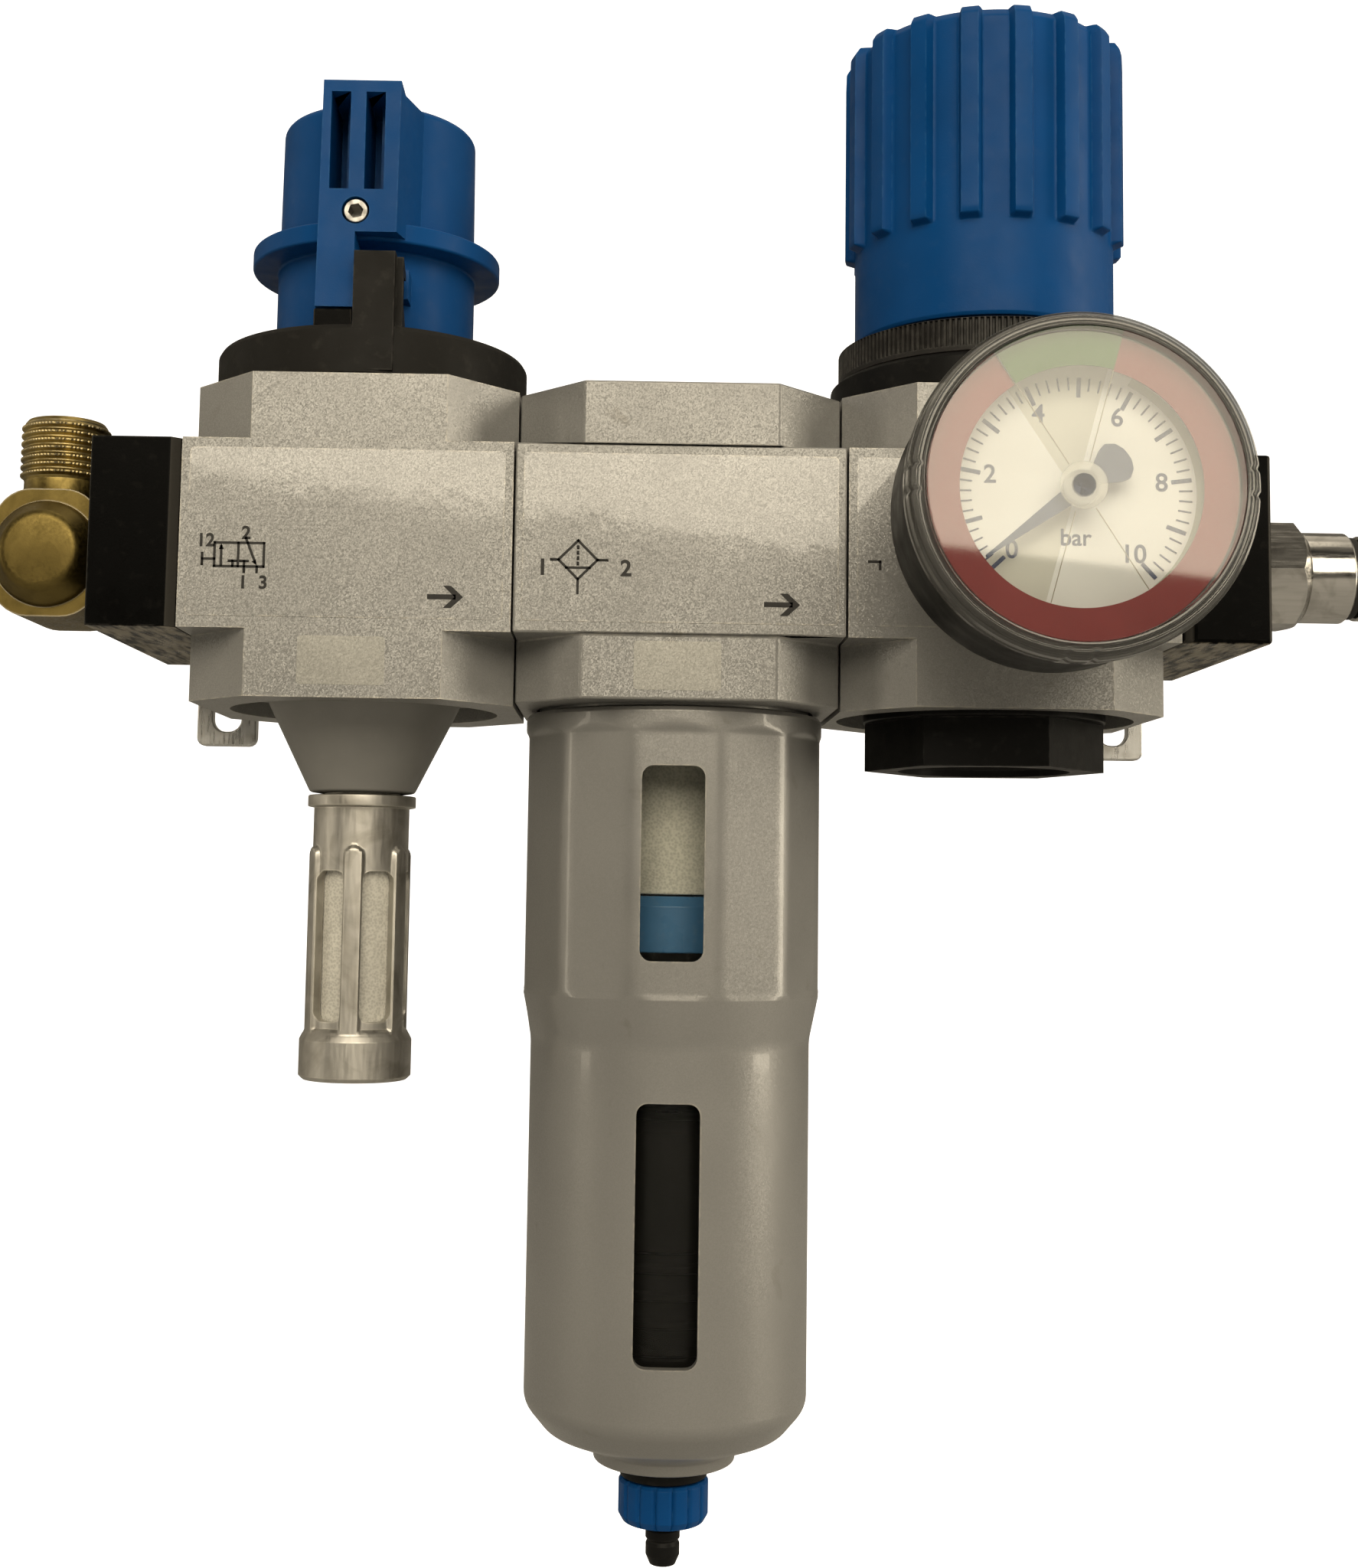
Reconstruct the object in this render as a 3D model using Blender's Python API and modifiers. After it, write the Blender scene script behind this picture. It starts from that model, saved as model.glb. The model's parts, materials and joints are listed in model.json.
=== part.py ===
"""Compressed-air service unit: shut-off valve, filter with automatic drain, and regulator with gauge.

Run with: blender --background --python part.py

Frame, in millimetres here and metres in the scene: +X is the way the air flows, -Y is the front, +Z is up.
The wall is the plane Y = 0, and the ports' common axis is at Z = 0. Each module stands on its own vertical
axis, AXIS_Y in front of the wall.
"""

from math import cos, pi, radians, sin

import bmesh
import bpy
from mathutils import Matrix, Vector

MM = 0.001
GAP = 0.3  # air between neighbouring solids
STEPS = 24  # sides of a visible round part
INNER_STEPS = 16  # sides of a hidden round part

# Modules and plates, which all share one section around the ports.
PITCH = 55.0
SHUTOFF_X = -PITCH
FILTER_X = 0.0
REGULATOR_X = PITCH
AXIS_Y = -31.0
BODY_WIDTH = PITCH - GAP
BODY_DEPTH = 57.0
BODY_TOP = 27.0
BODY_BOTTOM = -27.0
BODY_CHAMFER = 11.2
BAND_HALF = 15.8
PLATE_WIDTH = 15.0
PLATE_CENTRE = 1.5 * PITCH + PLATE_WIDTH / 2
PORT_RADIUS = 7.5
FRONT_Y = AXIS_Y - BODY_DEPTH / 2
REAR_Y = AXIS_Y + BODY_DEPTH / 2

# Each port seal sits in a ring groove cut in the face on its left.
SEAL_INNER = 9.0
SEAL_OUTER = 11.0
SEAL_DEPTH = 1.8

TIE_ROD_RADIUS = 2.0
TIE_ROD_Y = REAR_Y - 4.0
TIE_ROD_Z = {"tie_rod_upper": 12.0, "tie_rod_lower": -5.0}
TIE_ROD_HEAD = (3.5, 4.0)  # radius and height

BRACKET_X = 85.5
BRACKET_SIZE = (11.5, 2.2, 62.6)
BRACKET_SLOT_Z = 24.0
BRACKET_SLOT = (5.4, 9.0)  # width and height


def scene_collections():
    """Clears the scene and makes the collection of solids and the one of helpers."""
    for old in list(bpy.data.objects):
        bpy.data.objects.remove(old, do_unlink=True)
    made = []
    for name in ("service_unit", "cutters"):
        collection = bpy.data.collections.new(name)
        bpy.context.scene.collection.children.link(collection)
        made.append(collection)
    return made


SOLIDS, HELPERS = scene_collections()


def material(name, colour, roughness, metallic=0.0, alpha=1.0):
    made = bpy.data.materials.new(name)
    made.use_nodes = True
    made.diffuse_color = (*colour, alpha)
    shader = made.node_tree.nodes["Principled BSDF"]
    shader.inputs["Base Color"].default_value = (*colour, 1.0)
    shader.inputs["Roughness"].default_value = roughness
    shader.inputs["Metallic"].default_value = metallic
    shader.inputs["Alpha"].default_value = alpha
    return made


SILVER = material("silver_paint", (0.56, 0.55, 0.52), 0.45, 0.3)
BLACK = material("black_plastic", (0.03, 0.03, 0.03), 0.5)
BLUE = material("blue_plastic", (0.01, 0.11, 0.38), 0.4)
GREY = material("grey_plastic", (0.25, 0.25, 0.24), 0.5)
WHITE = material("white_plastic", (0.8, 0.79, 0.74), 0.7)
CLEAR = material("clear_plastic", (0.75, 0.8, 0.8), 0.1, 0.0, 0.35)
ALUMINIUM = material("aluminium", (0.68, 0.66, 0.62), 0.3, 1.0)
STEEL = material("zinc_plated_steel", (0.6, 0.6, 0.58), 0.35, 1.0)
NICKEL = material("nickel_plate", (0.7, 0.68, 0.64), 0.15, 1.0)
BRASS = material("brass", (0.78, 0.55, 0.2), 0.3, 1.0)
RUBBER = material("rubber", (0.02, 0.02, 0.02), 0.8)
CREAM = material("dial_face", (0.85, 0.82, 0.72), 0.6)
RED = material("red_plastic", (0.5, 0.03, 0.02), 0.5)
GREEN = material("green_plastic", (0.02, 0.3, 0.08), 0.5)

# A turned part is drawn along its own Z, and this turns that Z to the world axis named.
TURNS = {
    "Z": (0.0, 0.0, 0.0),
    "-Y": (pi / 2, 0.0, 0.0),
    "X": (0.0, pi / 2, 0.0),
}


def add_object(name, mesh, finish, place=(0, 0, 0), axis="Z"):
    """Links a mesh in millimetres as a solid, or as a helper when it has no finish."""
    mesh.transform(Matrix.Scale(MM, 4))
    made = bpy.data.objects.new(name, mesh)
    made.location = Vector(place) * MM
    made.rotation_euler = TURNS[axis]
    if finish is None:
        made.hide_render = True
        made.display_type = "WIRE"
        HELPERS.objects.link(made)
    else:
        mesh.materials.append(finish)
        SOLIDS.objects.link(made)
    return made


def mesh_from(name, bm):
    bmesh.ops.recalc_face_normals(bm, faces=bm.faces)
    mesh = bpy.data.meshes.new(name)
    bm.to_mesh(mesh)
    bm.free()
    return mesh


def turned(name, profile, finish, place=(0, 0, 0), axis="Z", steps=STEPS, closed=False):
    """A turned solid. The profile of (radius, height) points runs down its outer side."""
    bm = bmesh.new()
    points = [bm.verts.new((radius, 0, height)) for radius, height in profile]
    for start, end in zip(points, points[1:]):
        bm.edges.new((start, end))
    if closed:
        bm.edges.new((points[-1], points[0]))
    mesh = bpy.data.meshes.new(name)
    bm.to_mesh(mesh)
    bm.free()
    made = add_object(name, mesh, finish, place, axis)
    screw = made.modifiers.new("turn", "SCREW")
    screw.steps = steps
    screw.render_steps = steps
    screw.use_merge_vertices = True
    screw.merge_threshold = 1e-5
    return made


def rod(name, radius, low, high, finish, place=(0, 0, 0), axis="Z", steps=INNER_STEPS):
    profile = [(0, high), (radius, high), (radius, low), (0, low)]
    return turned(name, profile, finish, place, axis, steps)


def ring(name, inner, outer, low, high, finish, place=(0, 0, 0), axis="Z", steps=STEPS):
    profile = [(inner, high), (outer, high), (outer, low), (inner, low)]
    return turned(name, profile, finish, place, axis, steps, closed=True)


def block(name, low, high, finish, bevel=0.0):
    """A box between two corners, in world millimetres, with its upright edges bevelled."""
    low, high = Vector(low), Vector(high)
    bm = bmesh.new()
    bmesh.ops.create_cube(bm, size=1.0)
    bmesh.ops.scale(bm, vec=high - low, verts=bm.verts)
    if bevel:
        upright = [e for e in bm.edges if abs((e.verts[0].co - e.verts[1].co).z) > 1e-6]
        bmesh.ops.bevel(bm, geom=upright, offset=bevel, segments=1, affect="EDGES")
    return add_object(name, mesh_from(name, bm), finish, (low + high) / 2)


def extruded(name, outline, low, high, finish, place=(0, 0, 0), axis="Z"):
    """A flat outline of (x, y) points swept from one height to another."""
    bm = bmesh.new()
    face = bm.faces.new([bm.verts.new((x, y, low)) for x, y in outline])
    swept = bmesh.ops.extrude_face_region(bm, geom=[face])
    top = [item for item in swept["geom"] if isinstance(item, bmesh.types.BMVert)]
    bmesh.ops.translate(bm, vec=(0, 0, high - low), verts=top)
    return add_object(name, mesh_from(name, bm), finish, place, axis)


def combine(solid, *helpers, operation="DIFFERENCE"):
    for helper in helpers:
        boolean = solid.modifiers.new(operation.lower(), "BOOLEAN")
        boolean.operation = operation
        boolean.solver = "EXACT"
        boolean.object = helper
    return solid


def hold(solid, *others):
    """Parents pieces to the solid that carries them and keeps them where they are."""
    bpy.context.view_layer.update()
    for other in others:
        other.parent = solid
        other.matrix_parent_inverse = solid.matrix_world.inverted()


def hexagon(corner_radius, turn=0.0):
    angles = [radians(60 * corner + turn) for corner in range(6)]
    return [(corner_radius * cos(a), corner_radius * sin(a)) for a in angles]


def ribbed_outline(radius, rib_height, ribs, rib_share, arc_points=3, first=-90.0):
    """The outline of a round part with evenly spaced ribs, of which rib_share is rib. first is one rib's bearing."""
    outline = []
    pitch = 2 * pi / ribs
    for rib in range(ribs):
        centre = rib * pitch + radians(first)
        half = rib_share * pitch / 2
        crest = half * 0.75
        for angle, out in ((-half, 0), (-crest, rib_height), (crest, rib_height), (half, 0)):
            reach = radius + out
            outline.append((reach * cos(centre + angle), reach * sin(centre + angle)))
        for step in range(1, arc_points):
            angle = centre + half + (pitch - 2 * half) * step / arc_points
            outline.append((radius * cos(angle), radius * sin(angle)))
    return outline


def helix(name, radius, wire, low, high, turns, finish, place, points_per_turn=8):
    """A coil spring along Z, as a curve with filled ends."""
    curve = bpy.data.curves.new(name, "CURVE")
    curve.dimensions = "3D"
    curve.bevel_depth = wire * MM
    curve.bevel_resolution = 0
    curve.resolution_u = 1
    curve.use_fill_caps = True
    spline = curve.splines.new("POLY")
    count = int(turns * points_per_turn) + 1
    spline.points.add(count - 1)
    for index, point in enumerate(spline.points):
        angle = 2 * pi * index / points_per_turn
        height = low + wire + (high - low - 2 * wire) * index / (count - 1)
        point.co = (radius * cos(angle) * MM, radius * sin(angle) * MM, height * MM, 1.0)
    made = bpy.data.objects.new(name, curve)
    made.location = Vector(place) * MM
    curve.materials.append(finish)
    SOLIDS.objects.link(made)
    return made


def axis_at(x, z=0.0):
    return (x, AXIS_Y, z)


def seal_groove(face_x):
    """The ring groove, open to +X, for the seal in the joint at face_x."""
    name = f"cut_seal_groove_{face_x:.0f}"
    low = -SEAL_DEPTH - 0.1
    place = (face_x, AXIS_Y, 0)
    return ring(name, SEAL_INNER - GAP, SEAL_OUTER + GAP, low, 1.0, None, place, "X", INNER_STEPS)


def tie_rod_holes(tag, low, high):
    return [
        rod(f"cut_{name}_{tag}", TIE_ROD_RADIUS + GAP, low, high, None, (0, TIE_ROD_Y, z), "X", 16)
        for name, z in TIE_ROD_Z.items()
    ]


def module_body(name, x, top=BODY_TOP, bottom=BODY_BOTTOM):
    """A die-cast housing: an upright block with cut corners, and the square band around the ports."""
    half = BODY_WIDTH / 2
    body = block(name, (x - half, FRONT_Y, bottom), (x + half, REAR_Y, top), SILVER, BODY_CHAMFER)
    band_low = (x - half, FRONT_Y, -BAND_HALF)
    band = block(f"join_{name}_band", band_low, (x + half, REAR_Y, BAND_HALF), None)
    combine(body, band, operation="UNION")
    combine(body, *tie_rod_holes(name, x - PITCH, x + PITCH))
    return combine(body, seal_groove(x + half))


def port_bore(name, x, start, end):
    """A bore along X between two places measured from the module's axis."""
    return rod(name, PORT_RADIUS, start, end, None, (x, AXIS_Y, 0), "X")


# --- End plates, wall brackets, seals, tie rods and fittings ---------------------------------------------


def end_plate(name, side):
    centre = side * PLATE_CENTRE
    half = (PLATE_WIDTH - GAP) / 2
    low = (centre - half, FRONT_Y, -BAND_HALF)
    high = (centre + half, REAR_Y, BAND_HALF)
    plate = block(name, low, high, BLACK)
    port = rod(f"cut_{name}_port", PORT_RADIUS + 1, -half - 1, half + 1, None, (centre, AXIS_Y, 0), "X")
    combine(plate, port)
    reach = half + 1 if side < 0 else half - 3
    combine(plate, *tie_rod_holes(name, centre - half - 1, centre + reach))
    screw = rod(f"cut_{name}_screw", 2.5, -2, 9, None, (side * BRACKET_X, REAR_Y, 0), "-Y", 16)
    combine(plate, screw)
    if side < 0:
        radius, height = TIE_ROD_HEAD
        face = centre - half
        for rod_name, z in TIE_ROD_Z.items():
            place = (face, TIE_ROD_Y, z)
            head = rod(f"cut_{rod_name}_head", radius, -1, height + GAP, None, place, "X", 16)
            combine(plate, head)
        combine(plate, seal_groove(centre + half))
    return plate


def wall_bracket(name, side):
    """A steel strip behind an end plate, with a slot above and one below for the wall screws."""
    width, thickness, height = BRACKET_SIZE
    x = side * BRACKET_X
    low = (x - width / 2, -thickness, -height / 2)
    bracket = block(name, low, (x + width / 2, 0, height / 2), STEEL)
    slot_width, slot_height = BRACKET_SLOT
    for tag, z in (("upper", BRACKET_SLOT_Z), ("lower", -BRACKET_SLOT_Z)):
        slot_low = (x - slot_width / 2, -thickness - 1, z - slot_height / 2)
        slot_high = (x + slot_width / 2, 1, z + slot_height / 2)
        combine(bracket, block(f"cut_{name}_{tag}", slot_low, slot_high, None))
    return combine(bracket, rod(f"cut_{name}_hole", 4.4, -1, thickness + 1, None, (x, 0, 0), "-Y"))


def bracket_screw(name, side):
    """Flush with the wall plane, so that the bracket's back stays flat."""
    profile = [(0, 10.5), (2.0, 10.5), (2.0, 2.4), (4.0, 1.9), (4.0, 0.3), (0, 0.3)]
    return turned(name, profile, STEEL, (side * BRACKET_X, 0, 0), "-Y", 16)


def tie_rod(name, z):
    radius, height = TIE_ROD_HEAD
    start = -PLATE_CENTRE - PLATE_WIDTH / 2 + GAP
    end = PLATE_CENTRE + 2.5
    profile = [
        (0, end),
        (TIE_ROD_RADIUS, end),
        (TIE_ROD_RADIUS, start + height),
        (radius - GAP, start + height),
        (radius - GAP, start),
        (0, start),
    ]
    return turned(name, profile, STEEL, (0, TIE_ROD_Y, z), "X", 12)


def port_seal(name, joint_x):
    """Fills its groove, and stops short of the face to its right."""
    low = joint_x - GAP / 2 - SEAL_DEPTH
    high = joint_x + GAP / 2 - 0.15
    return ring(name, SEAL_INNER, SEAL_OUTER, low, high, RUBBER, (0, AXIS_Y, 0), "X", INNER_STEPS)


def elbow_fitting():
    """A brass 90 degree elbow: one arm in the left plate, the other up, with an outside thread."""
    x = -110.0
    plate_face = -PLATE_CENTRE - PLATE_WIDTH / 2
    profile = [(4.6, 24.3), (6.9, 24.3), (7.7, 23.3)]
    profile += [(7.7, 13.7), (6.6, 13.0), (6.6, 11.0), (8.6, 10.0)]
    profile += [(8.6, -9.0), (4.6, -9.0)]
    upright = turned("elbow_fitting", profile, BRASS, (x, AXIS_Y, 0), "Z", STEPS, closed=True)
    low, high = (x - 9.5, AXIS_Y - 10, -11.8), (x + 9.5, AXIS_Y + 10, 9.4)
    knuckle = block("join_elbow_knuckle", low, high, None, 3.0)
    boss = rod("join_elbow_boss", 7.4, 0, 14.5, None, (x, AXIS_Y, -1.0), "-Y", STEPS)
    arm = rod("join_elbow_arm", PORT_RADIUS + 0.6, 0, plate_face + 11 - x, None, (x, AXIS_Y, 0), "X")
    collar = rod("join_elbow_collar", 9.0, 7.5, plate_face - GAP - x, None, (x, AXIS_Y, 0), "X")
    combine(upright, knuckle, boss, arm, collar, operation="UNION")
    up_bore = rod("cut_elbow_up", 4.6, 0, 30, None, (x, AXIS_Y, 0), "Z")
    side_bore = rod("cut_elbow_side", 4.6, -3, 40, None, (x, AXIS_Y, 0), "X")
    return combine(upright, up_bore, side_bore)


def push_fit_body():
    """A nickel-plated push-in fitting: thread in the right plate, hexagon, and a round sleeve."""
    plate_face = PLATE_CENTRE + PLATE_WIDTH / 2
    start = plate_face - 11
    place = (0, AXIS_Y, 0)
    profile = [(0, 119.6), (7.6, 119.6), (8.1, 119.0), (8.1, start), (0, start)]
    body = turned("push_fit_body", profile, NICKEL, place, "X", STEPS)
    flats = extruded("join_push_fit_hex", hexagon(10.4, 30), plate_face + GAP, 110.9, None, place, "X")
    combine(body, flats, operation="UNION")
    passage = rod("cut_push_fit_passage", 4.0, 60, 109, None, place, "X")
    socket = rod("cut_push_fit_socket", 6.4, 108, 130, None, place, "X")
    return combine(body, passage, socket)


def release_collar():
    """The collar that is pressed in to free the tube."""
    profile = [(4.1, 125.0), (6.9, 125.0), (7.6, 124.4), (7.6, 121.6)]
    profile += [(6.1, 121.6), (6.1, 112.0), (4.1, 112.0)]
    return turned("release_collar", profile, NICKEL, (0, AXIS_Y, 0), "X", INNER_STEPS, closed=True)


def ends_and_fittings():
    for side, word in ((-1, "left"), (1, "right")):
        end_plate(f"{word}_plate", side)
        wall_bracket(f"{word}_wall_bracket", side)
        bracket_screw(f"{word}_bracket_screw", side)
    for name, z in TIE_ROD_Z.items():
        tie_rod(name, z)
    for count, joint in enumerate((-1.5, -0.5, 0.5, 1.5), 1):
        port_seal(f"port_seal_{count}", joint * PITCH)
    elbow_fitting()
    push_fit_body()
    release_collar()


# --- Shut-off valve ---------------------------------------------------------------------------------------


def shutoff_body():
    x = SHUTOFF_X
    body = module_body("shutoff_body", x)
    return combine(
        body,
        rod("cut_shutoff_top", 18.0, 12, 40, None, axis_at(x)),
        rod("cut_shutoff_upper", 14.0, -2, 12.5, None, axis_at(x)),
        rod("cut_shutoff_seat", 7.0, -6, -1, None, axis_at(x)),
        rod("cut_shutoff_lower", 20.0, -21, -5, None, axis_at(x)),
        rod("cut_shutoff_recess", 23.5, -40, -20, None, axis_at(x), steps=STEPS),
        port_bore("cut_shutoff_inlet", x, -40, -15.6),
        port_bore("cut_shutoff_outlet", x, 5.1, 40),
    )


def shutoff_collar():
    """The black ring under the knob, with the locking tab that stands up in front."""
    x = SHUTOFF_X
    collar = ring("shutoff_collar", 19.2, 27.5, BODY_TOP + GAP, 35.8, BLACK, axis_at(x))
    tab_left, tab_right, tab_top = -0.2, 7.2, 48.2
    front = AXIS_Y - 27.2
    low, high = (x + tab_left, front, 30), (x + tab_right, front + 2.2, tab_top)
    tab = block("join_collar_tab", low, high, None)
    rib_low = (x + tab_right - 1.6, front + 1, 30)
    rib = block("join_collar_rib", rib_low, (x + tab_right, front + 5.4, tab_top), None)
    combine(collar, tab, rib, operation="UNION")
    notch_low = (x + tab_right - 3, front + 3.2, 38.5)
    return combine(collar, block("cut_collar_notch", notch_low, (x + 9, front + 8, 45.4), None))


def shutoff_knob():
    """The blue knob. Its nose points to the front when the valve is open."""
    x = SHUTOFF_X
    profile = [(0, 79.0), (14.6, 79.0), (17.0, 77.4), (17.4, 55.4), (22.1, 55.4), (22.1, 51.6)]
    profile += [(17.6, 51.6), (17.6, 29.6), (15.2, 29.6), (15.2, 46.0), (4.4, 46.0), (4.4, 56.0), (0, 56.0)]
    knob = turned("shutoff_knob", profile, BLUE, axis_at(x))
    left, right = -7.0, 6.4
    front = AXIS_Y - 24.6
    outline = [(left, 39.4), (-0.6, 39.4), (-0.6, 52.4), (right, 52.4), (right, 78.2), (left, 78.2)]
    nose = extruded("join_knob_nose", outline, 13.0, AXIS_Y - front, None, axis_at(x), "-Y")
    lug = block("join_knob_lug", (x + 3.0, AXIS_Y - 19.8, 42.3), (x + 8.1, AXIS_Y - 14.0, 47.4), None)
    combine(knob, nose, lug, operation="UNION")
    for tag, slot in (("left", -5.2), ("right", 0.7)):
        low = (x + slot, front - 1, 59.8)
        combine(knob, block(f"cut_knob_slot_{tag}", low, (x + slot + 3.3, front + 7, 76.8), None))
    screw_place = (x - 0.6, front, 56.1)
    return combine(knob, rod("cut_knob_screw", 2.4, -12, 2, None, screw_place, "-Y", 16))


def knob_screw():
    """The hex-socket set screw in the nose, which clamps the knob to its spindle."""
    place = (SHUTOFF_X - 0.6, AXIS_Y - 24.6, 56.1)
    screw = rod("knob_screw", 2.1, -11, -0.3, STEEL, place, "-Y", 16)
    return combine(screw, extruded("cut_screw_socket", hexagon(1.3), -2.6, 1, None, place, "-Y"))


def shutoff_bonnet():
    """The insert that closes the body's top bore and guides the spindle."""
    profile = [(4.4, 27.0), (17.7, 27.0), (17.7, 12.4), (9.7, 12.4), (9.7, 25.0), (4.4, 25.0)]
    return turned("shutoff_bonnet", profile, BLACK, axis_at(SHUTOFF_X), steps=INNER_STEPS, closed=True)


def shutoff_spindle():
    """The spindle, with the drum whose end cam presses on the valve piston."""
    profile = [(0, 55.7), (4.0, 55.7), (4.0, 24.7), (9.3, 24.7), (9.3, 14.2), (0, 14.2)]
    return turned("shutoff_spindle", profile, STEEL, axis_at(SHUTOFF_X), steps=INNER_STEPS)


def valve_piston():
    """The sliding plug. Its head is held clear of the seat while the valve is open."""
    profile = [(0, 9.6), (8.0, 9.6), (8.0, 7.6), (3.0, 7.6)]
    profile += [(3.0, -9.5), (9.0, -9.5), (9.0, -13.0), (0, -13.0)]
    return turned("valve_piston", profile, BRASS, axis_at(SHUTOFF_X), steps=INNER_STEPS)


def exhaust_adapter():
    """The grey cone that closes the bottom of the valve and carries the silencer."""
    profile = [(10.4, -18.6), (19.6, -18.6), (19.6, -20.3), (23.2, -20.3), (23.2, -24.4), (16.6, -24.4)]
    profile += [(16.6, -25.4), (8.9, -41.5), (7.0, -41.5), (7.0, -27.0), (10.4, -27.0)]
    return turned("exhaust_adapter", profile, GREY, axis_at(SHUTOFF_X), closed=True)


def silencer_body():
    """The aluminium silencer: stub, washer face, and a cage of six ribs around the sleeve."""
    profile = [(4.2, -31.0), (6.6, -31.0), (6.6, -41.8), (9.6, -41.8), (9.6, -43.7), (8.7, -43.9)]
    profile += [(8.7, -83.0), (9.75, -83.4), (9.75, -90.4), (9.0, -91.1), (4.0, -91.1)]
    profile += [(4.0, -88.0), (7.1, -88.0), (7.1, -47.5), (4.2, -47.5)]
    cage = turned("silencer_body", profile, ALUMINIUM, axis_at(SHUTOFF_X), closed=True)
    windows = 6
    for window in range(windows):
        cutter = block(f"cut_silencer_window_{window}", (-2.7, 5.0, -81.2), (2.7, 12.0, -55.2), None)
        cutter.rotation_euler.z = 2 * pi * window / windows + radians(15)
        centre = Vector((0, 8.5, (-81.2 - 55.2) / 2)) * MM
        centre.rotate(cutter.rotation_euler)
        cutter.location = centre + Vector(axis_at(SHUTOFF_X)) * MM
        combine(cage, cutter)
    return cage


def silencer_sleeve():
    return ring("silencer_sleeve", 4.4, 6.8, -87.7, -47.8, WHITE, axis_at(SHUTOFF_X), steps=INNER_STEPS)


def shutoff_valve():
    x = SHUTOFF_X
    shutoff_body()
    shutoff_collar()
    knob = shutoff_knob()
    shutoff_bonnet()
    spindle = shutoff_spindle()
    valve_piston()
    helix("piston_spring", 8.0, 0.7, -26.6, -13.4, 4, STEEL, axis_at(x))
    exhaust_adapter()
    silencer_body()
    silencer_sleeve()
    hold(spindle, knob)
    hold(knob, knob_screw())


# --- Filter -----------------------------------------------------------------------------------------------


def filter_body():
    x = FILTER_X
    body = module_body("filter_body", x, 26.5, -26.5)
    return combine(
        body,
        rod("cut_filter_collar", 24.4, -40, -19, None, axis_at(x), steps=STEPS),
        rod("cut_filter_bowl", 21.2, -20, -9.5, None, axis_at(x), steps=STEPS),
        rod("cut_filter_riser", 6.0, -11, 0, None, axis_at(x)),
        rod("cut_filter_drop", 4.5, -11, 0, None, axis_at(x - 15.5), steps=16),
        port_bore("cut_filter_inlet", x, -40, -10.6),
        port_bore("cut_filter_outlet", x, -6.9, 40),
    )


def element_holder():
    """The black swirl cone and stem that screw into the body and carry the filter element."""
    profile = [(3.4, -2.0), (5.7, -2.0), (5.7, -11.4), (14.0, -11.4), (17.6, -15.0), (17.6, -17.4)]
    profile += [(5.0, -17.4), (5.0, -63.4), (3.4, -63.4)]
    return turned("element_holder", profile, BLACK, axis_at(FILTER_X), steps=INNER_STEPS, closed=True)


def filter_element():
    return ring("filter_element", 5.3, 14.0, -58.2, -17.7, WHITE, axis_at(FILTER_X), steps=INNER_STEPS)


def baffle_plate():
    """The blue cup that screws on the stem, holds the element and calms the air below it."""
    profile = [(5.4, -58.5), (14.5, -58.5), (16.2, -60.2), (16.2, -68.0)]
    profile += [(14.8, -68.0), (14.8, -62.5), (5.4, -62.5)]
    return turned("baffle_plate", profile, BLUE, axis_at(FILTER_X), steps=INNER_STEPS, closed=True)


def bowl():
    """The clear bowl inside the guard, open at the top, with a hole for the drain at the bottom."""
    profile = [(18.8, -10.2), (20.6, -10.2), (20.6, -140.0), (18.4, -146.0), (14.0, -149.0), (6.0, -149.8)]
    profile += [(6.0, -148.0), (13.4, -147.2), (17.0, -144.6), (18.8, -139.4)]
    return turned("bowl", profile, CLEAR, axis_at(FILTER_X), closed=True)


def bowl_seal():
    """Seals the bowl's rim in the body; it travels down with the bowl."""
    return ring("bowl_seal", 20.7, 21.1, -14.0, -12.0, RUBBER, axis_at(FILTER_X), steps=STEPS)


def rounded_window(name, x_low, x_high, z_low, z_high, y_low, y_high, corner):
    """A cutter through the guard, whose corners are bevelled in the XZ plane."""
    bm = bmesh.new()
    bmesh.ops.create_cube(bm, size=1.0)
    size = Vector((x_high - x_low, y_high - y_low, z_high - z_low))
    bmesh.ops.scale(bm, vec=size, verts=bm.verts)
    through = [e for e in bm.edges if abs((e.verts[0].co - e.verts[1].co).y) > 1e-6]
    bmesh.ops.bevel(bm, geom=through, offset=corner, segments=3, profile=0.5, affect="EDGES")
    centre = ((x_low + x_high) / 2, (y_low + y_high) / 2, (z_low + z_high) / 2)
    return add_object(name, mesh_from(name, bm), None, centre)


def bowl_guard():
    """The metal guard: twelve flats above, a waist, a plain cylinder below, two windows, and a neck."""
    x = FILTER_X
    profile = [(21.8, -19.6), (23.9, -19.6), (23.9, -26.8), (26.1, -27.0), (26.1, -75.0), (24.3, -82.0)]
    profile += [(24.3, -139.0), (21.5, -147.0), (14.5, -152.4), (12.1, -153.0), (12.1, -154.4)]
    profile += [(8.2, -154.4), (8.2, -151.6), (13.6, -150.4), (20.0, -145.4), (22.5, -138.4)]
    profile += [(22.5, -81.6), (24.1, -74.6), (24.1, -29.4), (21.8, -29.4)]
    guard = turned("bowl_guard", profile, SILVER, axis_at(x), closed=True)
    for tag, z_low, z_high in (("upper", -69.0, -37.0), ("lower", -134.0, -92.0)):
        name = f"cut_guard_{tag}"
        window = rounded_window(name, x - 5.6, x + 5.0, z_low, z_high, AXIS_Y - 30, AXIS_Y - 15, 2.2)
        combine(guard, window)
    return guard


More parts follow.
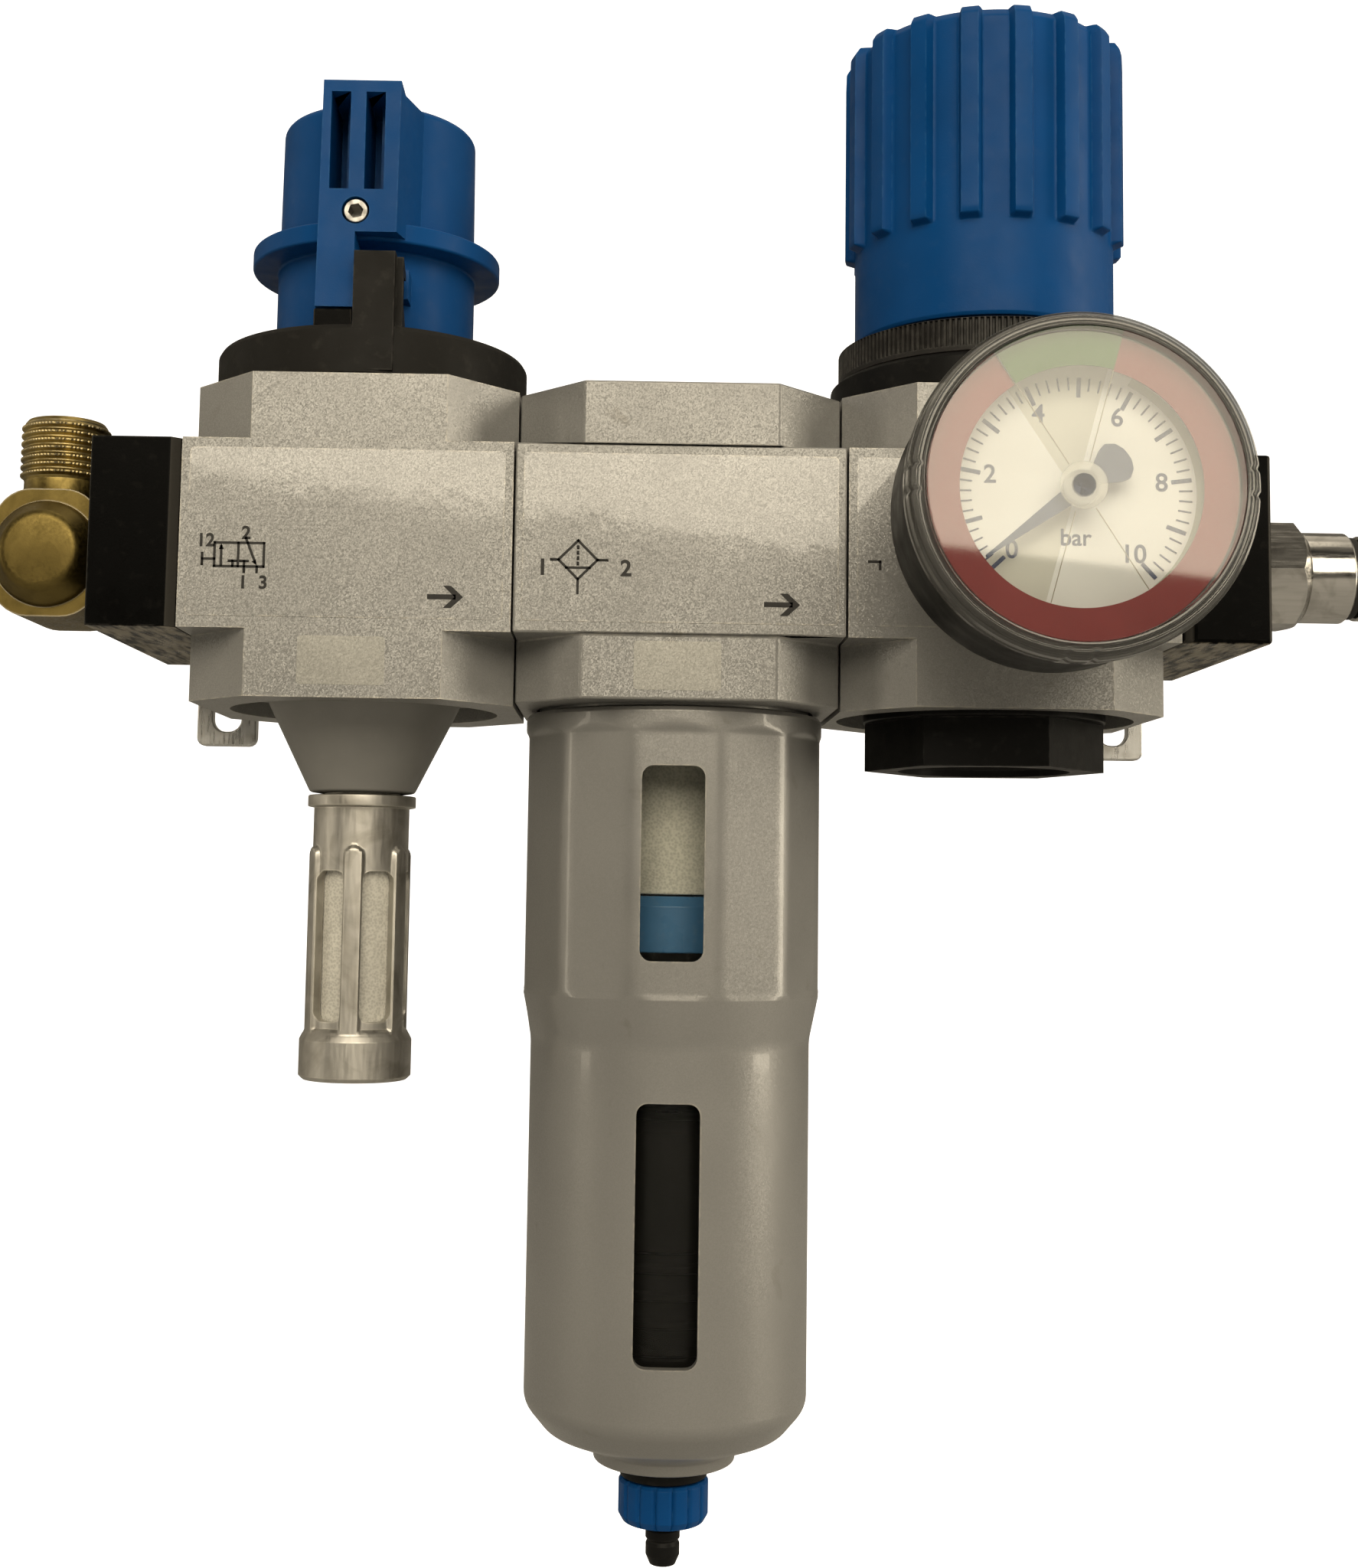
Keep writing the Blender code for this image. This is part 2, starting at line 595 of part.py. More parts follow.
def drain_housing():
    """The dark housing in the bottom of the bowl, around the float."""
    profile = [(2.2, -96.0), (13.4, -96.0), (14.4, -98.0), (14.4, -117.5), (13.2, -118.0), (13.2, -139.4)]
    profile += [(11.8, -139.4), (11.8, -99.6), (2.2, -99.6)]
    return turned("drain_housing", profile, BLACK, axis_at(FILTER_X), steps=INNER_STEPS, closed=True)


def drain_float():
    """The float around the guide tube. It rises with the condensate and opens the drain valve."""
    profile = [(3.2, -108.0), (10.8, -108.0), (10.8, -132.0), (3.2, -132.0)]
    return turned("drain_float", profile, WHITE, axis_at(FILTER_X), steps=INNER_STEPS, closed=True)


def drain_body():
    """The drain valve's body: guide tube, base in the bowl, and threaded shank through bowl and guard."""
    profile = [(1.0, -101.0), (2.6, -101.0), (2.6, -139.7), (12.6, -139.7), (12.6, -143.8), (7.6, -146.0)]
    profile += [(5.6, -146.0), (5.6, -162.6), (1.0, -162.6)]
    return turned("drain_body", profile, BLACK, axis_at(FILTER_X), steps=INNER_STEPS, closed=True)


def drain_nut():
    """The thin black nut that clamps the drain's shank under the guard."""
    return ring("drain_nut", 6.0, 7.5, -157.2, -154.8, BLACK, axis_at(FILTER_X), steps=INNER_STEPS)


def drain_knob():
    """The blue knurled knob for draining by hand."""
    outline = ribbed_outline(7.3, 0.4, 20, 0.5, 1)
    knob = extruded("drain_knob", outline, -164.6, -157.5, BLUE, axis_at(FILTER_X))
    bore = rod("cut_drain_knob", 6.0, -163.2, -150, None, axis_at(FILTER_X))
    hole = rod("cut_drain_knob_hole", 3.0, -170, -160, None, axis_at(FILTER_X))
    return combine(knob, bore, hole)


def drain_barb():
    """The hose barb under the drain knob."""
    profile = [(1.2, -162.9), (2.55, -162.9), (2.55, -166.3), (2.95, -166.8)]
    profile += [(2.95, -168.2), (2.3, -172.0), (1.2, -172.0)]
    return turned("drain_barb", profile, BLACK, axis_at(FILTER_X), steps=INNER_STEPS, closed=True)


def filter_unit():
    filter_body()
    element_holder()
    filter_element()
    baffle_plate()
    bowl()
    bowl_seal()
    bowl_guard()
    drain_housing()
    drain_float()
    drain_body()
    drain_nut()
    drain_knob()
    drain_barb()


# --- Pressure regulator -----------------------------------------------------------------------------------


def regulator_body():
    x = REGULATOR_X
    body = module_body("regulator_body", x)
    return combine(
        body,
        rod("cut_regulator_top", 23.0, 19, 40, None, axis_at(x), steps=STEPS),
        rod("cut_regulator_upper", 14.0, -3, 19.5, None, axis_at(x)),
        rod("cut_regulator_seat", 5.5, -7, -2, None, axis_at(x)),
        rod("cut_regulator_lower", 19.0, -24, -6, None, axis_at(x)),
        rod("cut_regulator_recess", 26.0, -40, -23, None, axis_at(x), steps=STEPS),
        port_bore("cut_regulator_inlet", x, -40, -15.4),
        port_bore("cut_regulator_outlet", x, 5.1, 40),
        rod("cut_gauge_port", 5.5, 5.1, 60, None, axis_at(x), "-Y"),
    )


def bottom_plug():
    """The black hexagon plug under the regulator, with a blind round opening in its foot."""
    x = REGULATOR_X
    profile = [(0, -24.0), (3.4, -24.0), (3.4, -19.0), (6.6, -19.0), (6.6, -10.2), (18.6, -10.2)]
    profile += [(18.6, -23.3), (21.2, -23.3), (21.2, -27.4), (14.9, -27.4), (14.9, -26.0), (0, -26.0)]
    plug = turned("bottom_plug", profile, BLACK, axis_at(x))
    foot = extruded("join_plug_hex", hexagon(20.9, -9.0), -35.8, -25.0, None, axis_at(x))
    combine(plug, foot, operation="UNION")
    return combine(plug, rod("cut_plug_opening", 14.9, -40, -26, None, axis_at(x), steps=STEPS))


def valve_poppet():
    """The valve plug under the seat. Its stem reaches up to the diaphragm."""
    profile = [(0, 18.8), (1.6, 18.8), (1.6, -6.3), (7.6, -6.3)]
    profile += [(7.6, -8.2), (3.0, -8.2), (3.0, -21.8), (0, -21.8)]
    return turned("valve_poppet", profile, BRASS, axis_at(REGULATOR_X), steps=INNER_STEPS)


def bonnet():
    """The black spring housing: a smooth ring on the body and a tube inside the knob."""
    seat = BODY_TOP + GAP
    profile = [(4.7, 74.0), (17.4, 74.0), (17.4, 33.3), (27.4, 33.3), (27.4, seat), (22.7, seat)]
    profile += [(22.7, 20.7), (15.6, 20.7), (15.6, 71.0), (4.7, 71.0)]
    return turned("bonnet", profile, BLACK, axis_at(REGULATOR_X), closed=True)


def knurled_ring():
    """The vertically knurled ring nut under the knob."""
    outline = ribbed_outline(25.3, 0.7, 24, 0.5, 1)
    ring_nut = extruded("knurled_ring", outline, 33.6, 39.6, BLACK, axis_at(REGULATOR_X))
    bore = rod("cut_knurled_ring", 17.7, 30, 45, None, axis_at(REGULATOR_X), steps=STEPS)
    return combine(ring_nut, bore)


def regulator_knob():
    """The blue adjusting knob: a plain skirt, and seventeen ribs above it."""
    x = REGULATOR_X
    outline = ribbed_outline(23.0, 1.9, 17, 0.42, 1, first=-105.5)
    knob = extruded("regulator_knob", outline, 57.6, 93.6, BLUE, axis_at(x))
    skirt = rod("join_knob_skirt", 23.0, 40.6, 60, None, axis_at(x), steps=30)
    crown = rod("join_knob_crown", 21.5, 90, 95.6, None, axis_at(x), steps=30)
    combine(knob, skirt, crown, operation="UNION")
    hollow = rod("cut_knob_hollow", 20.4, 30, 91.0, None, axis_at(x), steps=STEPS)
    centre = rod("cut_knob_centre", 4.6, 85, 99, None, axis_at(x))
    low, high = (x - 8.4, AXIS_Y - 10.4, 88), (x + 8.4, AXIS_Y - 8.0, 99)
    slot = block("cut_knob_hasp_slot", low, high, None)
    return combine(knob, hollow, centre, slot)


def lock_hasp():
    """The pull-up locking plate that takes a padlock."""
    x = REGULATOR_X
    low = (x - 8.0, AXIS_Y - 10.0, 78.0)
    hasp = block("lock_hasp", low, (x + 8.0, AXIS_Y - 8.4, 98.4), STEEL)
    window_low = (x - 4.0, AXIS_Y - 11.0, 83.0)
    return combine(hasp, block("cut_hasp_window", window_low, (x + 4.0, AXIS_Y - 7.0, 90.0), None))


def regulator_spindle():
    """The adjusting screw. The knob turns it, and lifts free of its locking teeth."""
    profile = [(0, 93.4), (4.2, 93.4), (4.2, 70.6), (14.6, 70.6)]
    profile += [(14.6, 68.4), (3.6, 68.4), (3.6, 36.0), (0, 36.0)]
    return turned("regulator_spindle", profile, STEEL, axis_at(REGULATOR_X), steps=INNER_STEPS)


def spring_nut():
    """The nut that the screw drives down on the main spring."""
    profile = [(3.9, 68.0), (15.2, 68.0), (15.2, 64.0), (6.5, 64.0), (6.5, 60.0), (3.9, 60.0)]
    return turned("spring_nut", profile, BRASS, axis_at(REGULATOR_X), steps=INNER_STEPS, closed=True)


def diaphragm():
    """The rubber diaphragm with its spring plate, clamped under the bonnet."""
    profile = [(0, 24.4), (9.0, 24.4), (9.0, 22.4), (13.0, 22.4)]
    profile += [(13.0, 20.4), (22.7, 20.4), (22.7, 19.3), (0, 19.3)]
    return turned("diaphragm", profile, RUBBER, axis_at(REGULATOR_X), steps=INNER_STEPS)


def regulator():
    x = REGULATOR_X
    regulator_body()
    bottom_plug()
    valve_poppet()
    helix("poppet_spring", 4.9, 0.6, -18.7, -8.5, 4, STEEL, axis_at(x))
    bonnet()
    knurled_ring()
    knob = regulator_knob()
    hasp = lock_hasp()
    spindle = regulator_spindle()
    spring_nut()
    diaphragm()
    helix("main_spring", 11.3, 1.4, 22.8, 63.6, 6, STEEL, axis_at(x))
    hold(spindle, knob)
    hold(knob, hasp)


# --- Gauge, whose axis is the regulator's port to the front --------------------------------------------------

GAUGE_FRONT = 77.9  # from the module's axis to the gauge's front
GAUGE_BACK = 49.0
DIAL_FACE = GAUGE_FRONT - 7.3
POINTER_LEVEL = DIAL_FACE + 1.8
DISC_THICKNESS = 0.3


def gauge_axis():
    return axis_at(REGULATOR_X)


def gauge_case():
    """The black case, open to the front, with a snap rim for the lens."""
    profile = [(22.9, GAUGE_FRONT - 2.0), (24.0, GAUGE_FRONT - 2.0), (24.0, GAUGE_BACK + 2), (22.0, GAUGE_BACK)]
    profile += [(5.4, GAUGE_BACK), (5.4, GAUGE_BACK + 2), (21.0, GAUGE_BACK + 2), (22.9, GAUGE_BACK + 4)]
    return turned("gauge_case", profile, BLACK, gauge_axis(), "-Y", closed=True)


def gauge_lens():
    """The clear lens. Its rim snaps over the case, and the range discs turn on the pin in its middle."""
    front = GAUGE_FRONT
    profile = [(0, front), (22.8, front), (24.8, front - 1.2), (24.8, front - 6.0), (24.3, front - 6.0)]
    profile += [(24.3, front - 1.7), (1.5, front - 1.7), (1.5, front - 3.6), (0, front - 3.6)]
    return turned("gauge_lens", profile, CLEAR, gauge_axis(), "-Y")


def gauge_dial():
    return ring("gauge_dial", 1.4, 22.4, DIAL_FACE - 0.8, DIAL_FACE, CREAM, gauge_axis(), "-Y")


def gauge_stem():
    """The brass stem, screwed into the regulator, that holds the case and feeds the tube."""
    profile = [(0, GAUGE_BACK + 7), (8.0, GAUGE_BACK + 7), (8.0, GAUGE_BACK + 2.3), (5.1, GAUGE_BACK + 2.3)]
    profile += [(5.1, GAUGE_BACK - 0.3), (8.0, GAUGE_BACK - 0.3), (8.0, GAUGE_BACK - 8), (5.2, GAUGE_BACK - 8)]
    profile += [(5.2, 16.0), (1.5, 16.0), (1.5, GAUGE_BACK), (0, GAUGE_BACK)]
    return turned("gauge_stem", profile, BRASS, gauge_axis(), "-Y", INNER_STEPS)


def bourdon_tube():
    """The curved tube behind the dial, which straightens as the pressure rises."""
    curve = bpy.data.curves.new("bourdon_tube", "CURVE")
    curve.dimensions = "3D"
    curve.bevel_depth = 1.5 * MM
    curve.bevel_resolution = 1
    curve.resolution_u = 1
    curve.use_fill_caps = True
    spline = curve.splines.new("POLY")
    count = 22
    spline.points.add(count - 1)
    for index, point in enumerate(spline.points):
        angle = radians(-70 + 250 * index / (count - 1))
        depth = GAUGE_BACK + 13.0
        point.co = (16 * cos(angle) * MM, 16 * sin(angle) * MM, depth * MM, 1.0)
    made = bpy.data.objects.new("bourdon_tube", curve)
    made.location = Vector(gauge_axis()) * MM
    made.rotation_euler = TURNS["-Y"]
    curve.materials.append(BRASS)
    SOLIDS.objects.link(made)
    return made


def range_disc(name, behind_front, finish):
    """A thin clear disc with a coloured edge, which is turned by hand to mark a range of pressure."""
    face = GAUGE_FRONT - behind_front
    return ring(name, 1.8, 22.0, face - DISC_THICKNESS, face, finish, gauge_axis(), "-Y")


def gauge_pointer():
    """The pointer on its arbor; it points down to the left at no pressure."""
    level = POINTER_LEVEL
    angle = radians(217.5)
    along = Vector((cos(angle), sin(angle)))
    across = Vector((-along.y, along.x))
    shape = [(15.6, 0.15), (2.0, 1.0), (-4.0, 1.0), (-6.6, 2.2), (-7.4, 0.0)]
    outline = [along * length + across * width for length, width in shape]
    outline += [along * length - across * width for length, width in reversed(shape[:-1])]
    pointer = extruded("gauge_pointer", outline, level, level + 0.5, BLUE, gauge_axis(), "-Y")
    hub = rod("join_pointer_hub", 2.6, level - 0.1, level + 0.9, None, gauge_axis(), "-Y")
    arbor = rod("join_pointer_arbor", 0.9, DIAL_FACE - 7, level + 0.2, None, gauge_axis(), "-Y", 12)
    pinion = rod("join_pointer_pinion", 2.2, DIAL_FACE - 6, DIAL_FACE - 3, None, gauge_axis(), "-Y", 12)
    return combine(pointer, hub, arbor, pinion, operation="UNION")


def gauge():
    gauge_case()
    gauge_lens()
    gauge_dial()
    gauge_stem()
    bourdon_tube()
    range_disc("red_range_disc", 3.1, RED)
    range_disc("green_range_disc", 2.4, GREEN)
    gauge_pointer()


ends_and_fittings()
shutoff_valve()
filter_unit()
regulator()
gauge()
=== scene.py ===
"""Looks of the compressed-air service unit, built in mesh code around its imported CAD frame.

Lengths are in millimetres until a mesh is finished, when it is scaled to the frame's metres. As in the frame,
+X is the way the air flows, -Y is the front and +Z is up. Every mesh keeps its origin at the frame's origin,
so that the procedural materials, which read object coordinates, run on from piece to piece at one scale.
"""

import json
from math import atan2, cos, pi, radians, sin, tan
from types import SimpleNamespace

import bmesh
import bpy
from mathutils import Matrix, Vector

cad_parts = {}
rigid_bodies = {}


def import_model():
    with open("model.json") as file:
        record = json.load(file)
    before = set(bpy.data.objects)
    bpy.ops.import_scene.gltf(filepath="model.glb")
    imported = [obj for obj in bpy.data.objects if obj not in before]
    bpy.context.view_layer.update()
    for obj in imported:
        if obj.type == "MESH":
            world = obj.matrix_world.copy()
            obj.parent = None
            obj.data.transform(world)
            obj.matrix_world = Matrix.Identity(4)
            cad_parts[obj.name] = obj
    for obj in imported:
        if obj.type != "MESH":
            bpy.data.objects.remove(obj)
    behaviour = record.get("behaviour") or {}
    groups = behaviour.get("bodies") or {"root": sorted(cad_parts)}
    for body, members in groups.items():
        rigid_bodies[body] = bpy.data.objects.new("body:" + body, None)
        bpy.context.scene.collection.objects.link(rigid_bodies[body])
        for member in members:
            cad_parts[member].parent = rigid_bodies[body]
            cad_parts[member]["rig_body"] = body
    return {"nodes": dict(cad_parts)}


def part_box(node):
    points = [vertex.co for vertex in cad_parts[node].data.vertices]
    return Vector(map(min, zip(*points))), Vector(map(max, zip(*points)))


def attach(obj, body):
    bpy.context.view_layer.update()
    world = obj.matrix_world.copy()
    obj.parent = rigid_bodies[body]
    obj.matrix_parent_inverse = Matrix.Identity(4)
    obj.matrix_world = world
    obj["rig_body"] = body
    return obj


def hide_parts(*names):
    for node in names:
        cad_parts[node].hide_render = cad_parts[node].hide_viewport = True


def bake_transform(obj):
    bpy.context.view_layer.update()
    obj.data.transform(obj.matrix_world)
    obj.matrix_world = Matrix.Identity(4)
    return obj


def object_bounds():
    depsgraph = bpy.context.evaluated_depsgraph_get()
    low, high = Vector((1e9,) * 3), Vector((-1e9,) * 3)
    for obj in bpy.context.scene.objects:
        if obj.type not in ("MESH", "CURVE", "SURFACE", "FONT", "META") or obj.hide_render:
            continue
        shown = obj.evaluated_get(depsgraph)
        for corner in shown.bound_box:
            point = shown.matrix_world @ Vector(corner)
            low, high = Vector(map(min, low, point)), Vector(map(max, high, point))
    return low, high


MM = 0.001
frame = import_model()
cad_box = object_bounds()


def span(node):
    """A CAD node's box at rest, in millimetres, with its centre as x, y and z."""
    low, high = (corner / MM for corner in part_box(node))
    middle = (low + high) / 2
    return SimpleNamespace(low=low, high=high, x=middle.x, y=middle.y, z=middle.z)


SHUTOFF = span("shutoff_body")
FILTER = span("filter_body")
REGULATOR = span("regulator_body")
GAUGE = span("gauge_lens")
AXIS_Y = span("shutoff_bonnet").y
FRONT_Y = FILTER.low.y
REAR_Y = FILTER.high.y
BODY_WIDTH = FILTER.high.x - FILTER.low.x
GAUGE_FRONT = AXIS_Y - GAUGE.low.y  # along the gauge's own axis, measured from the modules' axis
PORT_RADIUS = 7.5


# --- Meshes -----------------------------------------------------------------------------------------------

TURNS = {
    "Z": Matrix.Identity(4),
    "-Y": Matrix.Rotation(pi / 2, 4, "X"),
    "X": Matrix.Rotation(pi / 2, 4, "Y"),
}


def rounded_corner(before, corner, after, radius, steps):
    """The arc that rounds one corner of a flat line."""
    back, on = before - corner, after - corner
    half = back.angle(on) / 2
    if radius <= 0 or half > radians(87) or half < radians(1):
        return [corner]
    reach = min(radius / tan(half), 0.45 * back.length, 0.45 * on.length)
    real_radius = reach * tan(half)
    centre = corner + (back.normalized() + on.normalized()).normalized() * (real_radius / sin(half))
    start = corner + back.normalized() * reach - centre
    end = corner + on.normalized() * reach - centre
    first = atan2(start.y, start.x)
    turn = atan2(start.x * end.y - start.y * end.x, start.dot(end))
    angles = [first + turn * step / steps for step in range(steps + 1)]
    return [centre + Vector((cos(a), sin(a))) * real_radius for a in angles]


def softened(points, radius, closed, steps=4):
    """Rounds the corners of a line. A point's third number is its own radius."""
    flat = [Vector(point[:2]) for point in points]
    made = []
    for index, point in enumerate(points):
        if not closed and index in (0, len(points) - 1):
            made.append(flat[index])
            continue
        own = point[2] if len(point) > 2 else radius
        made += rounded_corner(flat[index - 1], flat[index], flat[(index + 1) % len(flat)], own, steps)
    return made


def placed(bm, place, axis):
    bmesh.ops.transform(bm, matrix=Matrix.Translation(place) @ TURNS[axis], verts=bm.verts)
    return bm


def lathe(profile, place, axis="Z", fillet=0.3, closed=False, steps=96, shape=None):
    """Turns a profile of (radius, height). shape(radius, angle, height) may change the radius on its way."""
    bm = bmesh.new()
    angles = [2 * pi * step / steps for step in range(steps)]
    rows = []
    for radius, height in softened(profile, fillet, closed):
        if radius < 1e-4:
            rows.append([bm.verts.new((0, 0, height))] * steps)
            continue
        reach = [shape(radius, angle, height) if shape else radius for angle in angles]
        rows.append([bm.verts.new((r * cos(a), r * sin(a), height)) for r, a in zip(reach, angles)])
    if closed:
        rows.append(rows[0])
    for upper, lower in zip(rows, rows[1:]):
        for step in range(steps):
            beside = (step + 1) % steps
            corners = dict.fromkeys((upper[step], upper[beside], lower[beside], lower[step]))
            if len(corners) > 2:
                bm.faces.new(corners)
    return placed(bm, place, axis)


def prism(outline, low, high, place=(0, 0, 0), axis="Z", fillet=0.0, steps=4):
    """Sweeps a closed flat outline from one height to another."""
    bm = bmesh.new()
    flat = softened(outline, fillet, True, steps)
    face = bm.faces.new([bm.verts.new((point.x, point.y, low)) for point in flat])
    swept = bmesh.ops.extrude_face_region(bm, geom=[face])
    top = [item for item in swept["geom"] if isinstance(item, bmesh.types.BMVert)]
    bmesh.ops.translate(bm, vec=(0, 0, high - low), verts=top)
    return placed(bm, place, axis)


def box(low, high):
    low, high = Vector(low), Vector(high)
    bm = bmesh.new()
    bmesh.ops.create_cube(bm, size=1.0)
    bmesh.ops.scale(bm, vec=high - low, verts=bm.verts)
    bmesh.ops.translate(bm, vec=(low + high) / 2, verts=bm.verts)
    return bm


def rod(radius, low, high, place, axis="Z", fillet=0.0, steps=96):
    return lathe([(0, high), (radius, high), (radius, low), (0, low)], place, axis, fillet, steps=steps)


def rectangle(x_low, x_high, y_low, y_high):
    return [(x_low, y_low), (x_high, y_low), (x_high, y_high), (x_low, y_high)]


def hexagon(corner_radius, turn=0.0):
    angles = [radians(60 * corner + turn) for corner in range(6)]
    return [(corner_radius * cos(a), corner_radius * sin(a)) for a in angles]


def arc(radius, start, sweep, steps):
    angles = [radians(start + sweep * step / steps) for step in range(steps + 1)]
    return [(radius * cos(a), radius * sin(a)) for a in angles]


def held(value):
    """A value kept between 0 and 1."""
    return max(0.0, min(1.0, value))


def from_rib(angle, phase, count):
    """How far an angle is from the nearest of a number of equally spaced ribs."""
    return (angle - phase + pi / count) % (2 * pi / count) - pi / count


def spun(bm, angle):
    """A flat shape turned about the axis it was drawn on, by an angle in degrees."""
    bmesh.ops.rotate(bm, matrix=Matrix.Rotation(radians(angle), 3, "Z"), verts=bm.verts)
    return bm


def together(*parts):
    """Several meshes as one, each still its own closed shell."""
    whole = bmesh.new()
    for part in parts:
        mesh = bpy.data.meshes.new("part")
        part.to_mesh(mesh)
        part.free()
        whole.from_mesh(mesh)
        bpy.data.meshes.remove(mesh)
    return whole


def linked(name, data):
    made = bpy.data.objects.new(name, data)
    bpy.context.scene.collection.objects.link(made)
    return made


def scene_object(name, bm):
    bmesh.ops.recalc_face_normals(bm, faces=bm.faces)
    bmesh.ops.scale(bm, vec=(MM, MM, MM), verts=bm.verts)
    mesh = bpy.data.meshes.new(name)
    bm.to_mesh(mesh)
    bm.free()
    return linked(name, mesh)


def applied(made):
    """An object's mesh with its modifiers, or its curve's shape, worked out."""
    graph = bpy.context.evaluated_depsgraph_get()
    graph.update()
    return bpy.data.meshes.new_from_object(made.evaluated_get(graph))


def combined(made, helpers, operation):
    """Joins or cuts with helpers for good, and removes them."""
    tools = [scene_object("helper", helper) for helper in helpers]
    for tool in tools:
        boolean = made.modifiers.new(operation.lower(), "BOOLEAN")
        boolean.operation = operation
        boolean.solver = "EXACT"
        boolean.object = tool
    mesh = applied(made)
    made.modifiers.clear()
    made.data = mesh
    for tool in tools:
        bpy.data.objects.remove(tool)


def piece(
    name, bm, slot, body, nodes=(), joins=(), cuts=(), bevel=0.0, finish=None, segments=3, sharp=0.0,
    fold=(),
):
    """Makes one piece of the visible model: its mesh, its material, its body and the CAD nodes it stands for.

    A piece with a fold is baked where it stands and rides on no body; what the fold holds is not used.
    """
    made = scene_object(name, bm)
    if joins:
        combined(made, joins, "UNION")
    if cuts:
        combined(made, cuts, "DIFFERENCE")
    mesh = made.data
    for polygon in mesh.polygons:
        polygon.use_smooth = True
    if sharp:
        mesh.set_sharp_from_angle(angle=radians(sharp))
    if bevel:
        rounding = made.modifiers.new("bevel", "BEVEL")
        rounding.width = bevel * MM
        rounding.segments = segments
        rounding.limit_method = "ANGLE"
        rounding.angle_limit = radians(32)
        rounding.harden_normals = True
    normals = made.modifiers.new("normals", "WEIGHTED_NORMAL")
    normals.keep_sharp = True
    mesh.materials.clear()
    mesh.materials.append(finish or MATERIALS[slot])
    if fold:
        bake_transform(made)
    else:
        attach(made, body)
    if nodes:
        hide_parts(*nodes)
    return made


def fine(node, bm, slot, **options):
    """A fine piece that stands for the CAD node of the same name and rides on its body."""
    body = frame["nodes"][node]["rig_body"]
    return piece(f"{node}_fine", bm, slot, body, (node,), **options)


def turned(node, profile, place, slot, fillet=0.3, steps=96, **options):
    """A fine piece turned from a closed profile on an upright axis."""
    fine(node, lathe(profile, place, "Z", fillet, True, steps), slot, **options)


# --- Materials --------------------------------------------------------------------------------------------


